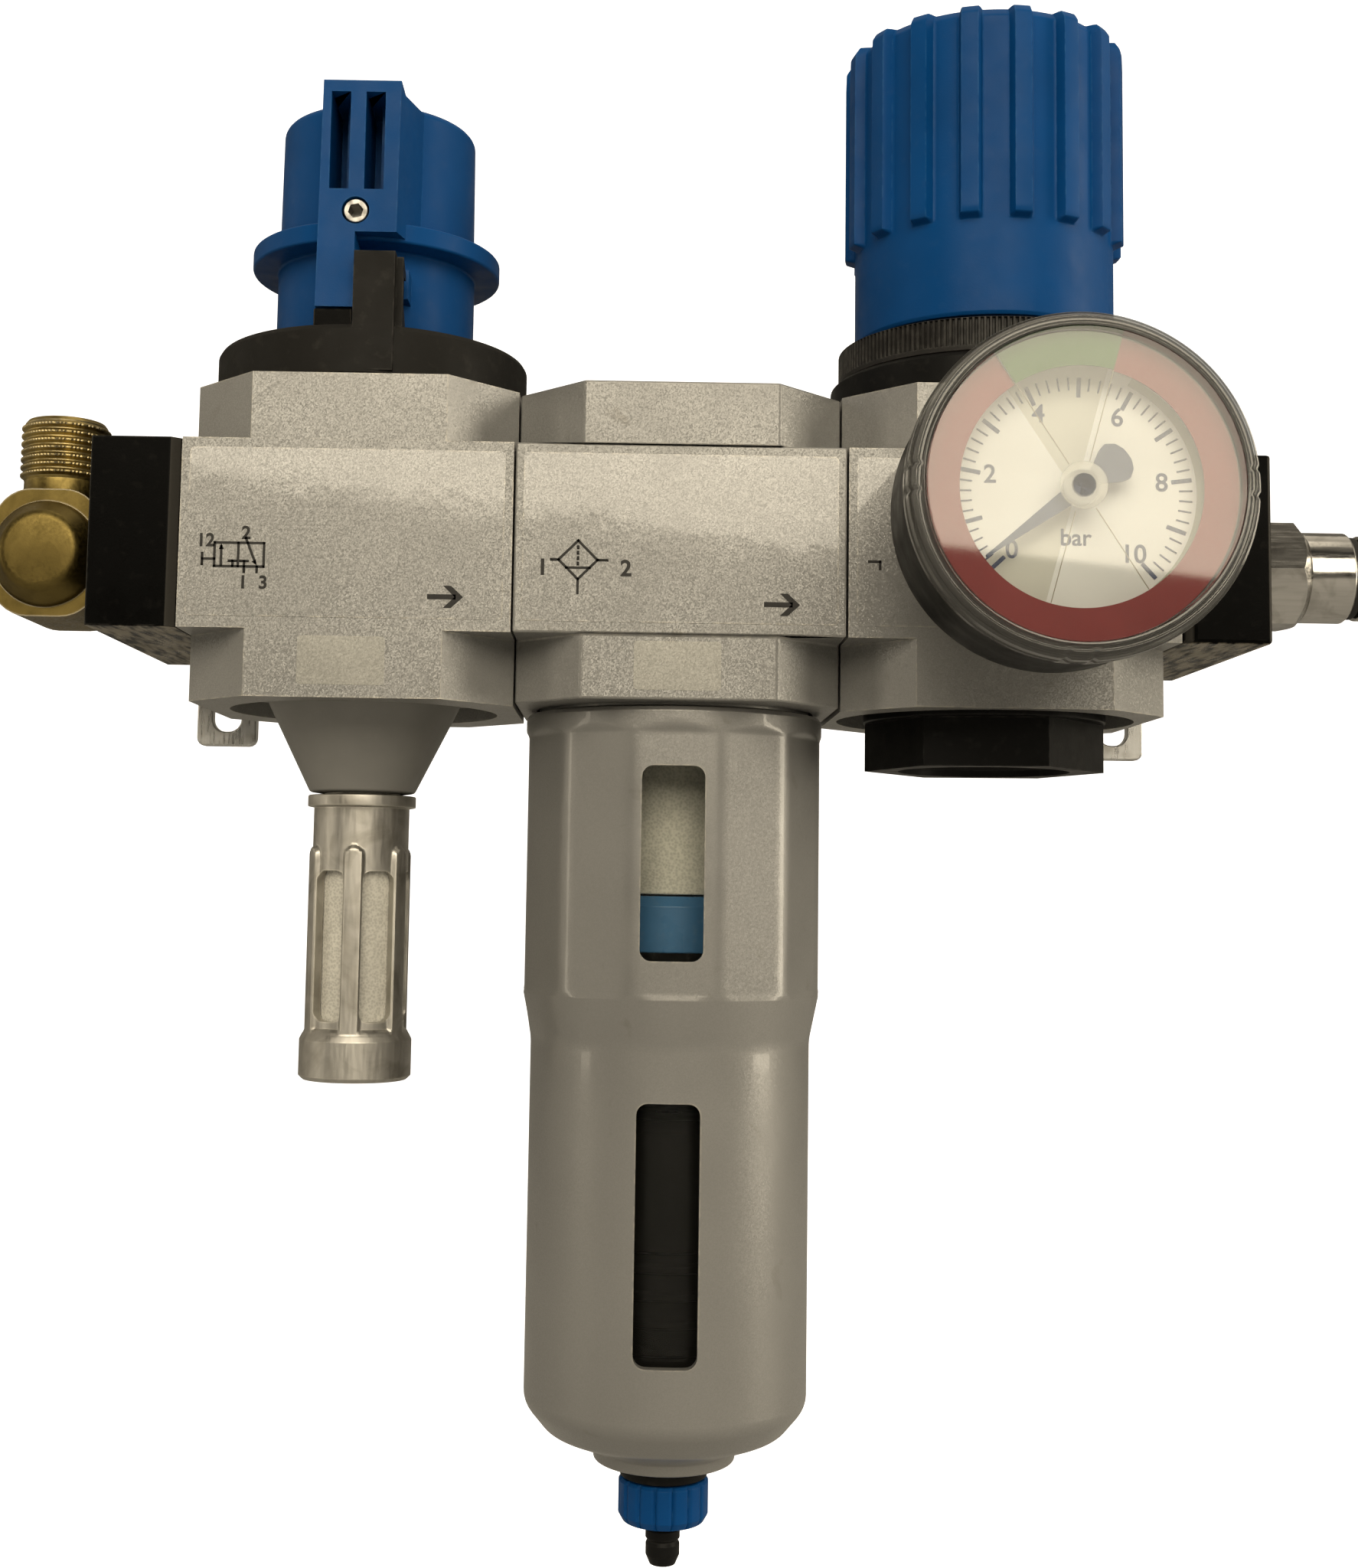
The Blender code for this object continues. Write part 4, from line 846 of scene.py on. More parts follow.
def shutoff_knob():
    """The blue knob: a capped cylinder with a flange, and a nose with two slots and a clamping screw."""
    x = SHUTOFF.x
    knob = span("shutoff_knob")
    top = knob.high.z
    profile = [
        (0, top), (14.0, top), (17.2, top - 1.4, 1.6), (17.4, 55.4, 0.4), (22.1, 55.2, 0.5),
        (22.1, 51.8, 0.5),
    ]
    profile += [
        (17.6, 51.6, 0.4), (17.6, 29.6), (15.2, 29.6), (15.2, 46.0), (4.4, 46.0), (4.4, 56.0), (0, 56.0)
    ]
    body = lathe(profile, at(SHUTOFF), "Z", 0.3, steps=128)
    left, right = -7.0, 6.4
    front = AXIS_Y - knob.low.y
    outline = [
        (left, 39.4), (-0.6, 39.4), (-0.6, 52.4), (right, 52.4), (right + 0.25, top - 0.2),
        (left + 0.4, top - 0.2),
    ]
    nose = prism(outline, 13.0, front, at(SHUTOFF), "-Y")
    flare = [
        (x + 4.8, AXIS_Y - 13), (x + 9.4, AXIS_Y - 14.4), (x + right, knob.low.y + 0.03),
        (x + 4.8, knob.low.y + 0.03),
    ]
    cheek = prism(flare, 52.43, top - 1.8)
    lug = box((x + 3.0, AXIS_Y - 19.8, 42.3), (x + 8.1, AXIS_Y - 14.0, 47.4))
    cuts = []
    for slot in (-5.2, 0.7):
        cuts.append(box((x + slot, knob.low.y - 1, 59.8), (x + slot + 3.3, knob.low.y + 7, 76.8)))
        cuts.append(box((x + slot, knob.low.y + 3, 59.8), (x + slot + 1.9, knob.low.y + 13, 76.8)))
    cuts.append(rod(2.35, front - 12, front + 2, (x - 0.6, AXIS_Y, 56.1), "-Y", steps=64))
    fine("shutoff_knob", body, "blue_plastic", joins=[nose, cheek, lug], cuts=cuts, bevel=0.35)
    screw = span("knob_screw")
    face = AXIS_Y - screw.low.y
    profile = [(0, face), (1.95, face), (2.1, face - 0.2), (2.1, face - 10.7), (0, face - 10.7)]
    place = (screw.x, AXIS_Y, screw.z)
    socket = prism(hexagon(1.35, 12), face - 3.4, face + 1, place, "-Y")
    fine(
        "knob_screw", lathe(profile, place, "-Y", 0.15, steps=64), "nickel_plate", cuts=[socket],
        finish=SCREW_FINISH, sharp=35,
    )


def shutoff_insides():
    bonnet = [(4.4, 27.0), (17.7, 27.0), (17.7, 12.4), (9.7, 12.4), (9.7, 25.0), (4.4, 25.0)]
    turned("shutoff_bonnet", bonnet, at(SHUTOFF), "black_plastic")
    spindle = [(0, 55.7), (4.0, 55.7), (4.0, 24.7), (9.3, 24.7), (9.3, 14.2), (0, 14.2)]
    fine("shutoff_spindle", lathe(spindle, at(SHUTOFF)), "zinc_plated_steel")
    piston = [
        (0, 9.6), (8.0, 9.6), (8.0, 7.6), (3.0, 7.6), (3.0, -9.5), (9.0, -9.5), (9.0, -13.0), (0, -13.0)
    ]
    fine("valve_piston", lathe(piston, at(SHUTOFF)), "brass")
    coil("piston_spring", 8.0, 0.7, 4, -26.6, -13.4, at(SHUTOFF))


def silencer():
    """The cone that closes the valve, and the ribbed aluminium silencer with a window in each panel."""
    cone = [(10.4, -18.6), (19.6, -18.6), (19.6, -20.3), (23.2, -20.3), (23.2, -24.4), (16.9, -24.4, 0.6)]
    cone += [(16.9, -25.6, 1.5), (9.2, -41.2, 0.8), (7.0, -41.5), (7.0, -27.0), (10.4, -27.0)]
    turned("exhaust_adapter", cone, at(SHUTOFF), "grey_plastic")
    ribs, phase = 6, radians(-90)
    rib_top, panel_top, panel_bottom = -50.6, -52.2, -82.8

    def ribbed(radius, angle, height):
        """Panels lie a little inside the ribs, which start with a rounded end under the smooth shoulder."""
        if not (9.0 < radius < 9.2 and panel_bottom - 1 < height < -43.9):
            return radius
        across = abs(from_rib(angle, phase, ribs)) * radius
        in_rib = held((2.0 - across) / 0.45)
        below = held((rib_top - height - max(0.0, across - 0.6) * 0.8) / 0.5)
        above_end = held((height - panel_bottom) / 0.6)
        return radius - 0.75 * (1 - in_rib * below) * above_end

    profile = [(4.2, -31.0), (6.6, -31.0), (6.6, -41.8), (9.45, -41.8), (9.45, -43.7), (9.1, -44.0, 0.1)]
    heights = [
        -45.0, -48.0, -50.0, -50.4, -50.7, -51.0, -51.3, -51.7, -52.2, panel_top - 1.0, -60.0, -70.0, -80.0
    ]
    heights += [-81.8, -82.1, -82.4, -82.7, -83.0]
    profile += [(9.1, height, 0.0) for height in heights]
    profile += [(9.3, -83.3, 0.3), (9.75, -84.2, 0.4), (9.75, -90.4), (9.0, -91.1), (4.0, -91.1)]
    profile += [(4.0, -88.0), (7.0, -88.0), (7.0, -47.5), (4.2, -47.5)]
    cage = lathe(profile, at(SHUTOFF), "Z", 0.25, True, 240, ribbed)
    windows = []
    for window in range(ribs):
        turn = phase + pi / 2 + 2 * pi * (window + 0.5) / ribs
        cutter = prism(rectangle(-2.9, 2.9, -80.9, -55.0), 4.5, 12.0, (0, 0, 0), "-Y", 1.7, 5)
        spin = Matrix.Translation(at(SHUTOFF)) @ Matrix.Rotation(turn, 4, "Z")
        bmesh.ops.transform(cutter, matrix=spin, verts=cutter.verts)
        windows.append(cutter)
    fine("silencer_body", cage, "aluminium", cuts=windows, sharp=35)
    sleeve = [(4.4, -47.8), (6.8, -47.8), (6.8, -87.7), (4.4, -87.7)]
    turned("silencer_sleeve", sleeve, at(SHUTOFF), "white_plastic")


def shutoff_valve():
    shutoff_collar()
    shutoff_knob()
    shutoff_insides()
    silencer()


# --- Filter -------------------------------------------------------------------------------------------------


def bowl_guard():
    """The metal guard: a round collar, twelve flats, a waist, and a plain cylinder with a rounded foot."""
    flats, apothem = 12, 25.35
    flats_top, waist = -31.4, -74.0

    def faceted(radius, angle, height):
        if radius < 24.9 or height > -28.6 or height < waist - 8:
            return radius
        turn = from_rib(angle, -pi / 2, flats)
        run_out = max(0.0, height - flats_top) * 0.55 + max(0.0, waist - height) * 0.12
        return min(radius, (apothem + run_out) / cos(turn))

    profile = [(21.8, -19.6), (23.9, -19.6), (23.9, -27.0), (25.6, -27.2, 0.3), (26.1, -27.9, 0.4)]
    heights = [-29.0, -29.8, -30.3, -30.7, -31.0, -31.3, -31.6, -32.0, -50.0, waist]
    profile += [(26.1, height, 0.0) for height in heights]
    profile += [
        (26.0, -75.0, 9.0), (24.3, -83.0, 12.0), (24.3, -110.0, 0.0), (24.3, -144.6, 4.5),
        (20.6, -149.0, 4.0),
    ]
    profile += [(13.6, -151.8, 2.0), (12.3, -152.4, 0.6), (12.1, -154.4, 0.5), (8.2, -154.4), (8.2, -151.6)]
    profile += [
        (13.6, -150.4), (20.0, -145.4), (22.5, -138.4), (22.5, -82.4), (24.1, -75.2), (24.1, -29.4),
        (21.8, -29.4),
    ]
    guard = lathe(profile, at(FILTER), "Z", 0.25, True, 144, faceted)
    windows = []
    for low, high, left, right in ((-69.0, -37.0, -5.7, 4.7), (-134.0, -92.0, -5.8, 4.6)):
        outline = rectangle(left, right, low, high)
        windows.append(prism(outline, 15, 30, at(FILTER), "-Y", 1.9, 6))
    fine("bowl_guard", guard, "silver_paint", cuts=windows, sharp=40)


def bowl_and_element():
    place = at(FILTER)
    bowl = [
        (18.8, -10.2), (20.6, -10.2), (20.6, -140.0), (18.4, -146.0, 3.0), (14.0, -149.0, 2.0),
        (6.0, -149.8),
    ]
    bowl += [(6.0, -148.0), (13.4, -147.2, 2.0), (17.0, -144.6, 2.0), (18.8, -139.4)]
    turned("bowl", bowl, place, "clear_plastic", finish=BOWL_FINISH)
    seal = [(20.7, -12.0), (21.1, -12.0), (21.1, -14.0), (20.7, -14.0)]
    turned("bowl_seal", seal, place, "rubber")
    holder = [(3.4, -2.0), (5.7, -2.0), (5.7, -11.4), (14.0, -11.4), (17.6, -15.0), (17.6, -17.4)]
    holder += [(5.0, -17.4), (5.0, -63.4), (3.4, -63.4)]
    turned("element_holder", holder, place, "black_plastic")
    element = [(5.3, -17.7), (14.0, -17.7), (14.0, -58.2), (5.3, -58.2)]
    turned("filter_element", element, place, "white_plastic")
    baffle = [
        (5.4, -58.5), (14.5, -58.5), (16.2, -60.2), (16.2, -68.0), (14.8, -68.0), (14.8, -62.5),
        (5.4, -62.5),
    ]
    turned("baffle_plate", baffle, place, "blue_plastic", finish=BAFFLE_FINISH)


def drain():
    place = at(FILTER)
    housing_profile = [(2.2, -96.0), (13.4, -96.0), (14.4, -98.0), (14.4, -117.5), (13.2, -118.0)]
    for rib in range(4):
        z = -119.5 - 4.5 * rib
        housing_profile += [(13.2, z), (13.9, z - 0.4), (13.9, z - 1.4), (13.2, z - 1.8)]
    housing_profile += [(13.2, -139.4), (11.8, -139.4), (11.8, -99.6), (2.2, -99.6)]
    # The drain housing takes the darker copy of the black plastic, a painted shade.
    turned("drain_housing", housing_profile, place, "black_plastic", 0.2, finish=SHADED_DRAIN_FINISH)
    drain_float = [(3.2, -108.0), (10.8, -108.0), (10.8, -132.0), (3.2, -132.0)]
    turned("drain_float", drain_float, place, "white_plastic")
    body = [(1.0, -101.0), (2.6, -101.0), (2.6, -139.7), (12.6, -139.7), (12.6, -143.8), (7.6, -146.0)]
    body += [(5.6, -146.0), (5.6, -162.6), (1.0, -162.6)]
    turned("drain_body", body, place, "black_plastic")
    nut = [(6.0, -154.8), (7.5, -154.8), (7.5, -157.2), (6.0, -157.2)]
    turned("drain_nut", nut, place, "black_plastic")

    grooves = 16

    def fluted(radius, angle, height):
        """Grooves cut the rim into flat lands."""
        if radius < 7.0:
            return radius
        groove = (angle * grooves / (2 * pi)) % 1.0
        return radius - 0.45 * max(0.0, 1 - abs(groove - 0.5) / 0.13)

    knob = [(6.0, -157.5), (7.3, -157.5), (7.7, -158.0), (7.7, -163.4), (7.0, -164.6), (3.0, -164.6)]
    knob += [(3.0, -163.2), (6.0, -163.2)]
    fine("drain_knob", lathe(knob, place, "Z", 0.25, True, grooves * 12, fluted), "blue_plastic", sharp=50)
    barb = [
        (1.2, -162.9), (2.5, -162.9), (2.5, -165.9), (2.95, -166.3), (2.95, -167.6), (2.6, -168.0),
        (2.9, -168.6),
    ]
    barb += [(2.9, -170.4), (2.2, -172.0), (1.2, -172.0)]
    turned("drain_barb", barb, place, "black_plastic", 0.15, 64)


def filter_unit():
    bowl_guard()
    bowl_and_element()
    drain()


# --- Regulator ----------------------------------------------------------------------------------------------


def regulator_knob():
    """The blue adjusting knob: a plain skirt, and rounded ribs above it that run out at their lower ends."""
    knob = span("regulator_knob")
    ribs, phase = 17, radians(-90 - 15.5)
    skirt, proud, half_rib = 23.05, 1.85, 1.75
    rib_end = 57.2

    def ribbed(radius, angle, height):
        if radius < 21.9 or height < rib_end - 0.1:
            return radius
        across = abs(from_rib(angle, phase, ribs)) * skirt
        side = held((half_rib + 0.35 - across) / 0.7)
        end = held((height - rib_end) / 0.9)
        side, end = (value * value * (3 - 2 * value) for value in (side, end))
        return radius + proud * side * end

    top = knob.high.z
    low = knob.low.z
    profile = [(20.4, low), (22.7, low, 0.3), (skirt, low + 0.6, 0.4)]
    heights = [
        rib_end - 3, rib_end, rib_end + 0.15, rib_end + 0.3, rib_end + 0.45, rib_end + 0.6, rib_end + 0.75
    ]
    heights += [rib_end + 0.9, rib_end + 2, 75, 90]
    profile += [(skirt, height, 0.0) for height in heights]
    profile += [
        (skirt - 0.1, top - 2.4, 1.2), (skirt - 1.1, top - 0.9, 0.8), (20.6, top - 0.9, 0.5),
        (19.8, top, 0.4),
    ]
    profile += [(4.6, top), (4.6, 91.0), (20.4, 91.0)]
    body = lathe(profile, at(REGULATOR), "Z", 0.3, True, ribs * 28, ribbed)
    slot = box((REGULATOR.x - 8.4, AXIS_Y - 10.4, 88), (REGULATOR.x + 8.4, AXIS_Y - 8.0, 99))
    fine("regulator_knob", body, "blue_plastic", cuts=[slot], sharp=45)


def regulator_outside():
    place = at(REGULATOR)
    seat = span("bonnet").low.z
    bonnet = [
        (4.7, 74.0), (17.4, 74.0), (17.4, 33.3), (26.6, 33.3), (27.4, 32.6, 0.5), (27.4, 27.9, 0.4),
        (26.8, 27.4, 0.2),
    ]
    bonnet += [(22.7, 27.3), (22.7, seat), (15.6, seat), (15.6, 71.0), (4.7, 71.0)]
    turned("bonnet", bonnet, place, "black_plastic", steps=128)
    teeth = 168

    def knurled(radius, angle, height):
        """Fine upright teeth, left out of two plain sectors."""
        plain = cos(angle + radians(58)) > 0.985 or cos(angle - radians(122)) > 0.985
        if radius < 25.0 or plain or not 34.6 < height < 39.2:
            return radius
        tooth = (angle * teeth / (2 * pi)) % 1.0
        return radius - 0.55 * (1 - held((0.32 - abs(tooth - 0.5)) / 0.14))

    profile = [
        (17.7, 33.6), (17.7, 39.6), (25.0, 39.6, 0.5), (26.0, 39.25, 0.3), (26.0, 39.1, 0.0),
        (26.0, 34.7, 0.0),
    ]
    profile += [(26.0, 34.5, 0.0), (26.0, 33.6, 0.2)]
    ring = lathe(profile, place, "Z", 0.2, True, teeth * 6, knurled)
    fine("knurled_ring", ring, "black_plastic", finish=RING_FINISH, sharp=40)
    hasp = span("lock_hasp")
    outline = rectangle(-8.0, 8.0, hasp.low.z, hasp.high.z)
    front, back = AXIS_Y - hasp.low.y, AXIS_Y - hasp.high.y
    window = prism(rectangle(-4.0, 4.0, 83.0, 90.0), back - 1, front + 1, place, "-Y", 1.4, 6)
    plate = prism(outline, back, front, place, "-Y", 2.0, 6)
    fine("lock_hasp", plate, "zinc_plated_steel", cuts=[window], bevel=0.25)
    plug = [(0, -24.0), (3.4, -24.0), (3.4, -19.0), (6.6, -19.0), (6.6, -10.2), (18.6, -10.2)]
    plug += [(18.6, -23.3), (21.2, -23.3), (21.2, -27.4), (14.9, -27.4), (14.9, -26.0), (0, -26.0)]
    foot = prism(hexagon(20.9, -9.0), -35.8, -25.0, place)
    opening = lathe(
        [(0, -26), (14.2, -26), (14.2, -34.0), (14.9, -34.6), (15.6, -40), (0, -40)], place, "Z", 0.1
    )
    fine("bottom_plug", lathe(plug, place), "black_plastic", joins=[foot], cuts=[opening], bevel=0.5)


def regulator_insides():
    place = at(REGULATOR)
    spindle = [
        (0, 93.4), (4.2, 93.4), (4.2, 70.6), (14.6, 70.6), (14.6, 68.4), (3.6, 68.4), (3.6, 36.0), (0, 36.0)
    ]
    fine("regulator_spindle", lathe(spindle, place), "zinc_plated_steel")
    nut = [(3.9, 68.0), (15.2, 68.0), (15.2, 64.0), (6.5, 64.0), (6.5, 60.0), (3.9, 60.0)]
    turned("spring_nut", nut, place, "brass")
    diaphragm = [
        (0, 24.4), (9.0, 24.4), (9.0, 22.4), (13.0, 22.4), (13.0, 20.4), (22.7, 20.4), (22.7, 19.3),
        (0, 19.3),
    ]
    fine("diaphragm", lathe(diaphragm, place), "rubber")
    poppet = [
        (0, 18.8), (1.6, 18.8), (1.6, -6.3), (7.6, -6.3), (7.6, -8.2), (3.0, -8.2), (3.0, -21.8), (0, -21.8)
    ]
    fine("valve_poppet", lathe(poppet, place), "brass")
    coil("poppet_spring", 4.9, 0.6, 4, -18.7, -8.5, place)
    coil("main_spring", 11.3, 1.4, 6, 22.8, 63.6, place)


# --- Gauge --------------------------------------------------------------------------------------------------

DIAL = AXIS_Y - span("gauge_dial").low.y
PRINT_LEVEL = DIAL + 0.01
POINTER_ANGLE = 216.8
ZERO_ANGLE = 223.0
BAR_ANGLE = 27.0
FULL_SCALE = 10
TICKS_PER_BAR = 5


def gauge_case():
    place = at(REGULATOR)
    back = AXIS_Y - span("gauge_case").high.y
    case = [
        (22.9, GAUGE_FRONT - 2.0), (24.0, GAUGE_FRONT - 2.0), (24.0, back + 4.0, 2.5), (20.5, back, 1.5)
    ]
    case += [(5.4, back), (5.4, back + 2), (21.0, back + 2), (22.9, back + 4)]
    fine("gauge_case", lathe(case, place, "-Y", 0.3, True, 128), "black_plastic")
    f = GAUGE_FRONT
    lens = [(0, f), (22.2, f), (22.2, f - 1.7), (1.5, f - 1.7), (1.5, f - 3.6), (0, f - 3.6)]
    fine("gauge_lens", lathe(lens, place, "-Y", 0.1, steps=128), "clear_plastic", finish=LENS_FINISH)

    def clipped(radius, angle, height):
        """Three pairs of short clip marks break the rim's outer rings."""
        marks = [abs((angle - radians(mark) + pi) % (2 * pi) - pi) for mark in (-92, 178, 2)]
        inside = min(abs(mark - radians(4.5)) for mark in marks) < radians(0.9)
        return radius - 0.35 if inside and radius > 23.0 and height > f - 5.2 else radius

    rim = [
        (22.3, f - 0.1), (22.7, f), (23.1, f - 0.5, 0.1), (23.4, f - 0.5, 0.1), (23.7, f - 0.3, 0.2),
        (24.2, f - 1.0, 0.2),
    ]
    rim += [
        (24.3, f - 1.6, 0.1), (24.7, f - 1.8, 0.2), (24.8, f - 3.2, 0.2), (24.5, f - 3.6, 0.1),
        (24.5, f - 4.2, 0.1),
    ]
    rim += [
        (24.8, f - 4.6, 0.1), (24.8, f - 6.0, 0.2), (24.3, f - 6.0, 0.1), (24.3, f - 1.9), (22.8, f - 1.9)
    ]
    rim += [(22.8, f - 2.8), (22.3, f - 2.8)]
    ring = lathe(rim, place, "-Y", 0.15, True, 240, clipped)
    piece("gauge_lens_rim", ring, "clear_plastic", "unit", ("gauge_lens",), finish=RIM_FINISH, sharp=40)
    hub_profile = [(1.7, f - 1.9), (3.4, f - 1.9, 0.4), (3.4, f - 2.2), (1.7, f - 2.2)]
    hub = lathe(hub_profile, place, "-Y", 0.1, True, 64)
    piece("lens_hub", hub, "clear_plastic", "unit", finish=HUB_FINISH)
    dial_back = AXIS_Y - span("gauge_dial").high.y
    face = [(1.4, DIAL), (22.4, DIAL), (22.4, dial_back), (1.4, dial_back)]
    fine("gauge_dial", lathe(face, place, "-Y", 0.1, True, 128), "dial_face")
    stem = [
        (0, back + 7), (8.0, back + 7), (8.0, back + 2.3), (5.1, back + 2.3), (5.1, back - 0.3),
        (8.0, back - 0.3),
    ]
    stem += [(8.0, back - 8), (5.2, back - 8), (5.2, 16.0), (1.5, 16.0), (1.5, back), (0, back)]
    fine("gauge_stem", lathe(stem, place, "-Y", 0.2), "brass")


def dial_marks():
    """Ticks, figures and the band of the scale, printed on the dial."""
    place = at(REGULATOR)
    marks = []
    for step in range(FULL_SCALE * TICKS_PER_BAR + 1):
        inner, width = (14.8, 0.24) if step % TICKS_PER_BAR else (13.8, 0.6)
        tick = prism(rectangle(inner, 16.7, -width / 2, width / 2), PRINT_LEVEL, PRINT_LEVEL + 0.06)
        marks.append(placed(spun(tick, ZERO_ANGLE - BAR_ANGLE * step / TICKS_PER_BAR), place, "-Y"))
    piece("dial_ticks", together(*marks), "black_plastic", "unit", finish=DIAL_INK)
    for figure in range(0, FULL_SCALE + 1, 2):
        angle = radians(ZERO_ANGLE - BAR_ANGLE * figure)
        radius = 12.4 if figure < 10 else 12.1
        middle = (radius * cos(angle), radius * sin(angle))
        lettering(f"dial_figure_{figure}", str(figure), 3.7, middle, PRINT_LEVEL, DIAL_INK)
    lettering("dial_unit", "bar", 3.4, (0.0, -6.6), PRINT_LEVEL, DIAL_INK)
    band = arc(17.3, 64, -114, 48) + list(reversed(arc(18.6, 64, -114, 48)))
    printed_band = prism(band, PRINT_LEVEL, PRINT_LEVEL + 0.04, place, "-Y")
    piece("dial_band", printed_band, "dial_face", "unit", finish=BAND_FINISH)


def lettering(name, text, size, middle, depth, finish, module=REGULATOR, weight=0.013):
    """Generic figures and the unit, as thin raised print that faces -Y."""
    curve = bpy.data.curves.new(name, "FONT")
    curve.body = text
    curve.size = size
    curve.align_x = "CENTER"
    curve.align_y = "CENTER"
    curve.extrude = 0.03
    curve.offset = weight * size
    letters = linked(name, curve)
    bm = bmesh.new()
    bm.from_mesh(applied(letters))
    bpy.data.objects.remove(letters)
    bmesh.ops.translate(bm, vec=(middle[0], middle[1], depth + 0.03), verts=bm.verts)
    placed(bm, at(module), "-Y")
    piece(name, bm, "black_plastic", "unit", finish=finish, sharp=30)


def sector(inner, outer, start, sweep, low, high, steps=48):
    outline = arc(outer, start, sweep, steps) + list(reversed(arc(inner, start, sweep, steps)))
    return prism(outline, low, high, at(REGULATOR), "-Y")


def range_discs():
    """The discs that mark a range: a coloured rim, the clear part's straight edges, and its faint tint."""
    green_low, green_high = 75.3, 123.2  # degrees, as all the angles here
    rims = {"green": (green_low, green_high - green_low), "red": (green_high, 360 - green_high + green_low)}
    edges = {"green": (green_low, green_high), "red": (255.0, 302.8)}
    tints = {"green": rims["green"], "red": (218.0, 37.0)}
    for word, (start, sweep) in rims.items():
        node = f"{word}_range_disc"
        disc = span(node)
        face, back = AXIS_Y - disc.low.y, AXIS_Y - disc.high.y
        fine(node, sector(17.2, 22.1, start, sweep, back + 0.05, face - 0.05, 128), f"{word}_plastic")
        lines = []
        for angle in edges[word]:
            line = prism(rectangle(3.6, 17.1, -0.06, 0.06), face - 0.15, face - 0.05)
            lines.append(placed(spun(line, angle), at(REGULATOR), "-Y"))
        piece(f"{word}_range_edges", together(*lines), "clear_plastic", node, finish=EDGE_FINISH)
        shade = sector(1.6, 19.6, *tints[word], DIAL + 0.004, DIAL + 0.008)
        piece(f"{word}_range_tint", shade, "dial_face", node, finish=SHADE_FINISH)


def pointer():
    place = at(REGULATOR)
    level = AXIS_Y - span("gauge_pointer").low.y + 0.1
    angle = radians(POINTER_ANGLE)
    along, across = Vector((cos(angle), sin(angle))), Vector((-sin(angle), cos(angle)))
    needle = [
        (16.6, 0.18), (13.0, 0.4), (2.2, 1.25), (-2.4, 1.1), (-3.6, 1.7), (-5.2, 2.7), (-6.5, 3.05),
        (-7.7, 2.2), (-8.3, 0.9),
    ]
    outline = [along * length + across * width for length, width in needle]
    outline += [along * length - across * width for length, width in reversed(needle)]
    blade = prism([tuple(point) for point in outline], level, level + 0.5, place, "-Y", 0.5)
    hub = lathe(
        [(0, level + 0.9), (2.6, level + 0.9), (2.6, level - 0.1), (0, level - 0.1)], place, "-Y", 0.2,
        steps=64,
    )
    arbor = rod(0.9, DIAL - 7, level + 0.2, place, "-Y", steps=32)
    pinion = rod(2.2, DIAL - 6, DIAL - 3, place, "-Y", steps=32)
    fine(
        "gauge_pointer", blade, "blue_plastic", joins=[hub, arbor, pinion], finish=POINTER_FINISH, sharp=35
    )


def gauge():
    gauge_case()
    dial_marks()
    range_discs()
    pointer()


# --- Printed labels -----------------------------------------------------------------------------------------


def stroke(start, end, width):
    """A straight printed line between two points of the front face, given as (x, z)."""
    a, b = Vector(start), Vector(end)
    along = (b - a).normalized() * (width / 2)
    side = Vector((-along.y, along.x))
    return [
        tuple(a - along + side), tuple(b + along + side), tuple(b + along - side), tuple(a - along - side)
    ]


def printed(name, shapes, module, shift=(0.0, 0.0)):
    face = AXIS_Y - FRONT_Y
    shapes = [[(x + shift[0], z + shift[1]) for x, z in shape] for shape in shapes]
    parts = [prism(shape, face + 0.09, face + 0.12, at(module), "-Y") for shape in shapes]
    piece(name, together(*parts), "black_plastic", "unit", finish=INK)


def arrow(x, z):
    shaft = [(x - 3.1, z - 0.42), (x + 1.6, z - 0.42), (x + 1.6, z + 0.42), (x - 3.1, z + 0.42)]
    head = [
        (x - 0.5, z + 1.85), (x + 0.8, z + 1.85), (x + 2.8, z), (x + 0.8, z - 1.85), (x - 0.5, z - 1.85),
        (x + 1.4, z),
    ]
    return [shaft, head]


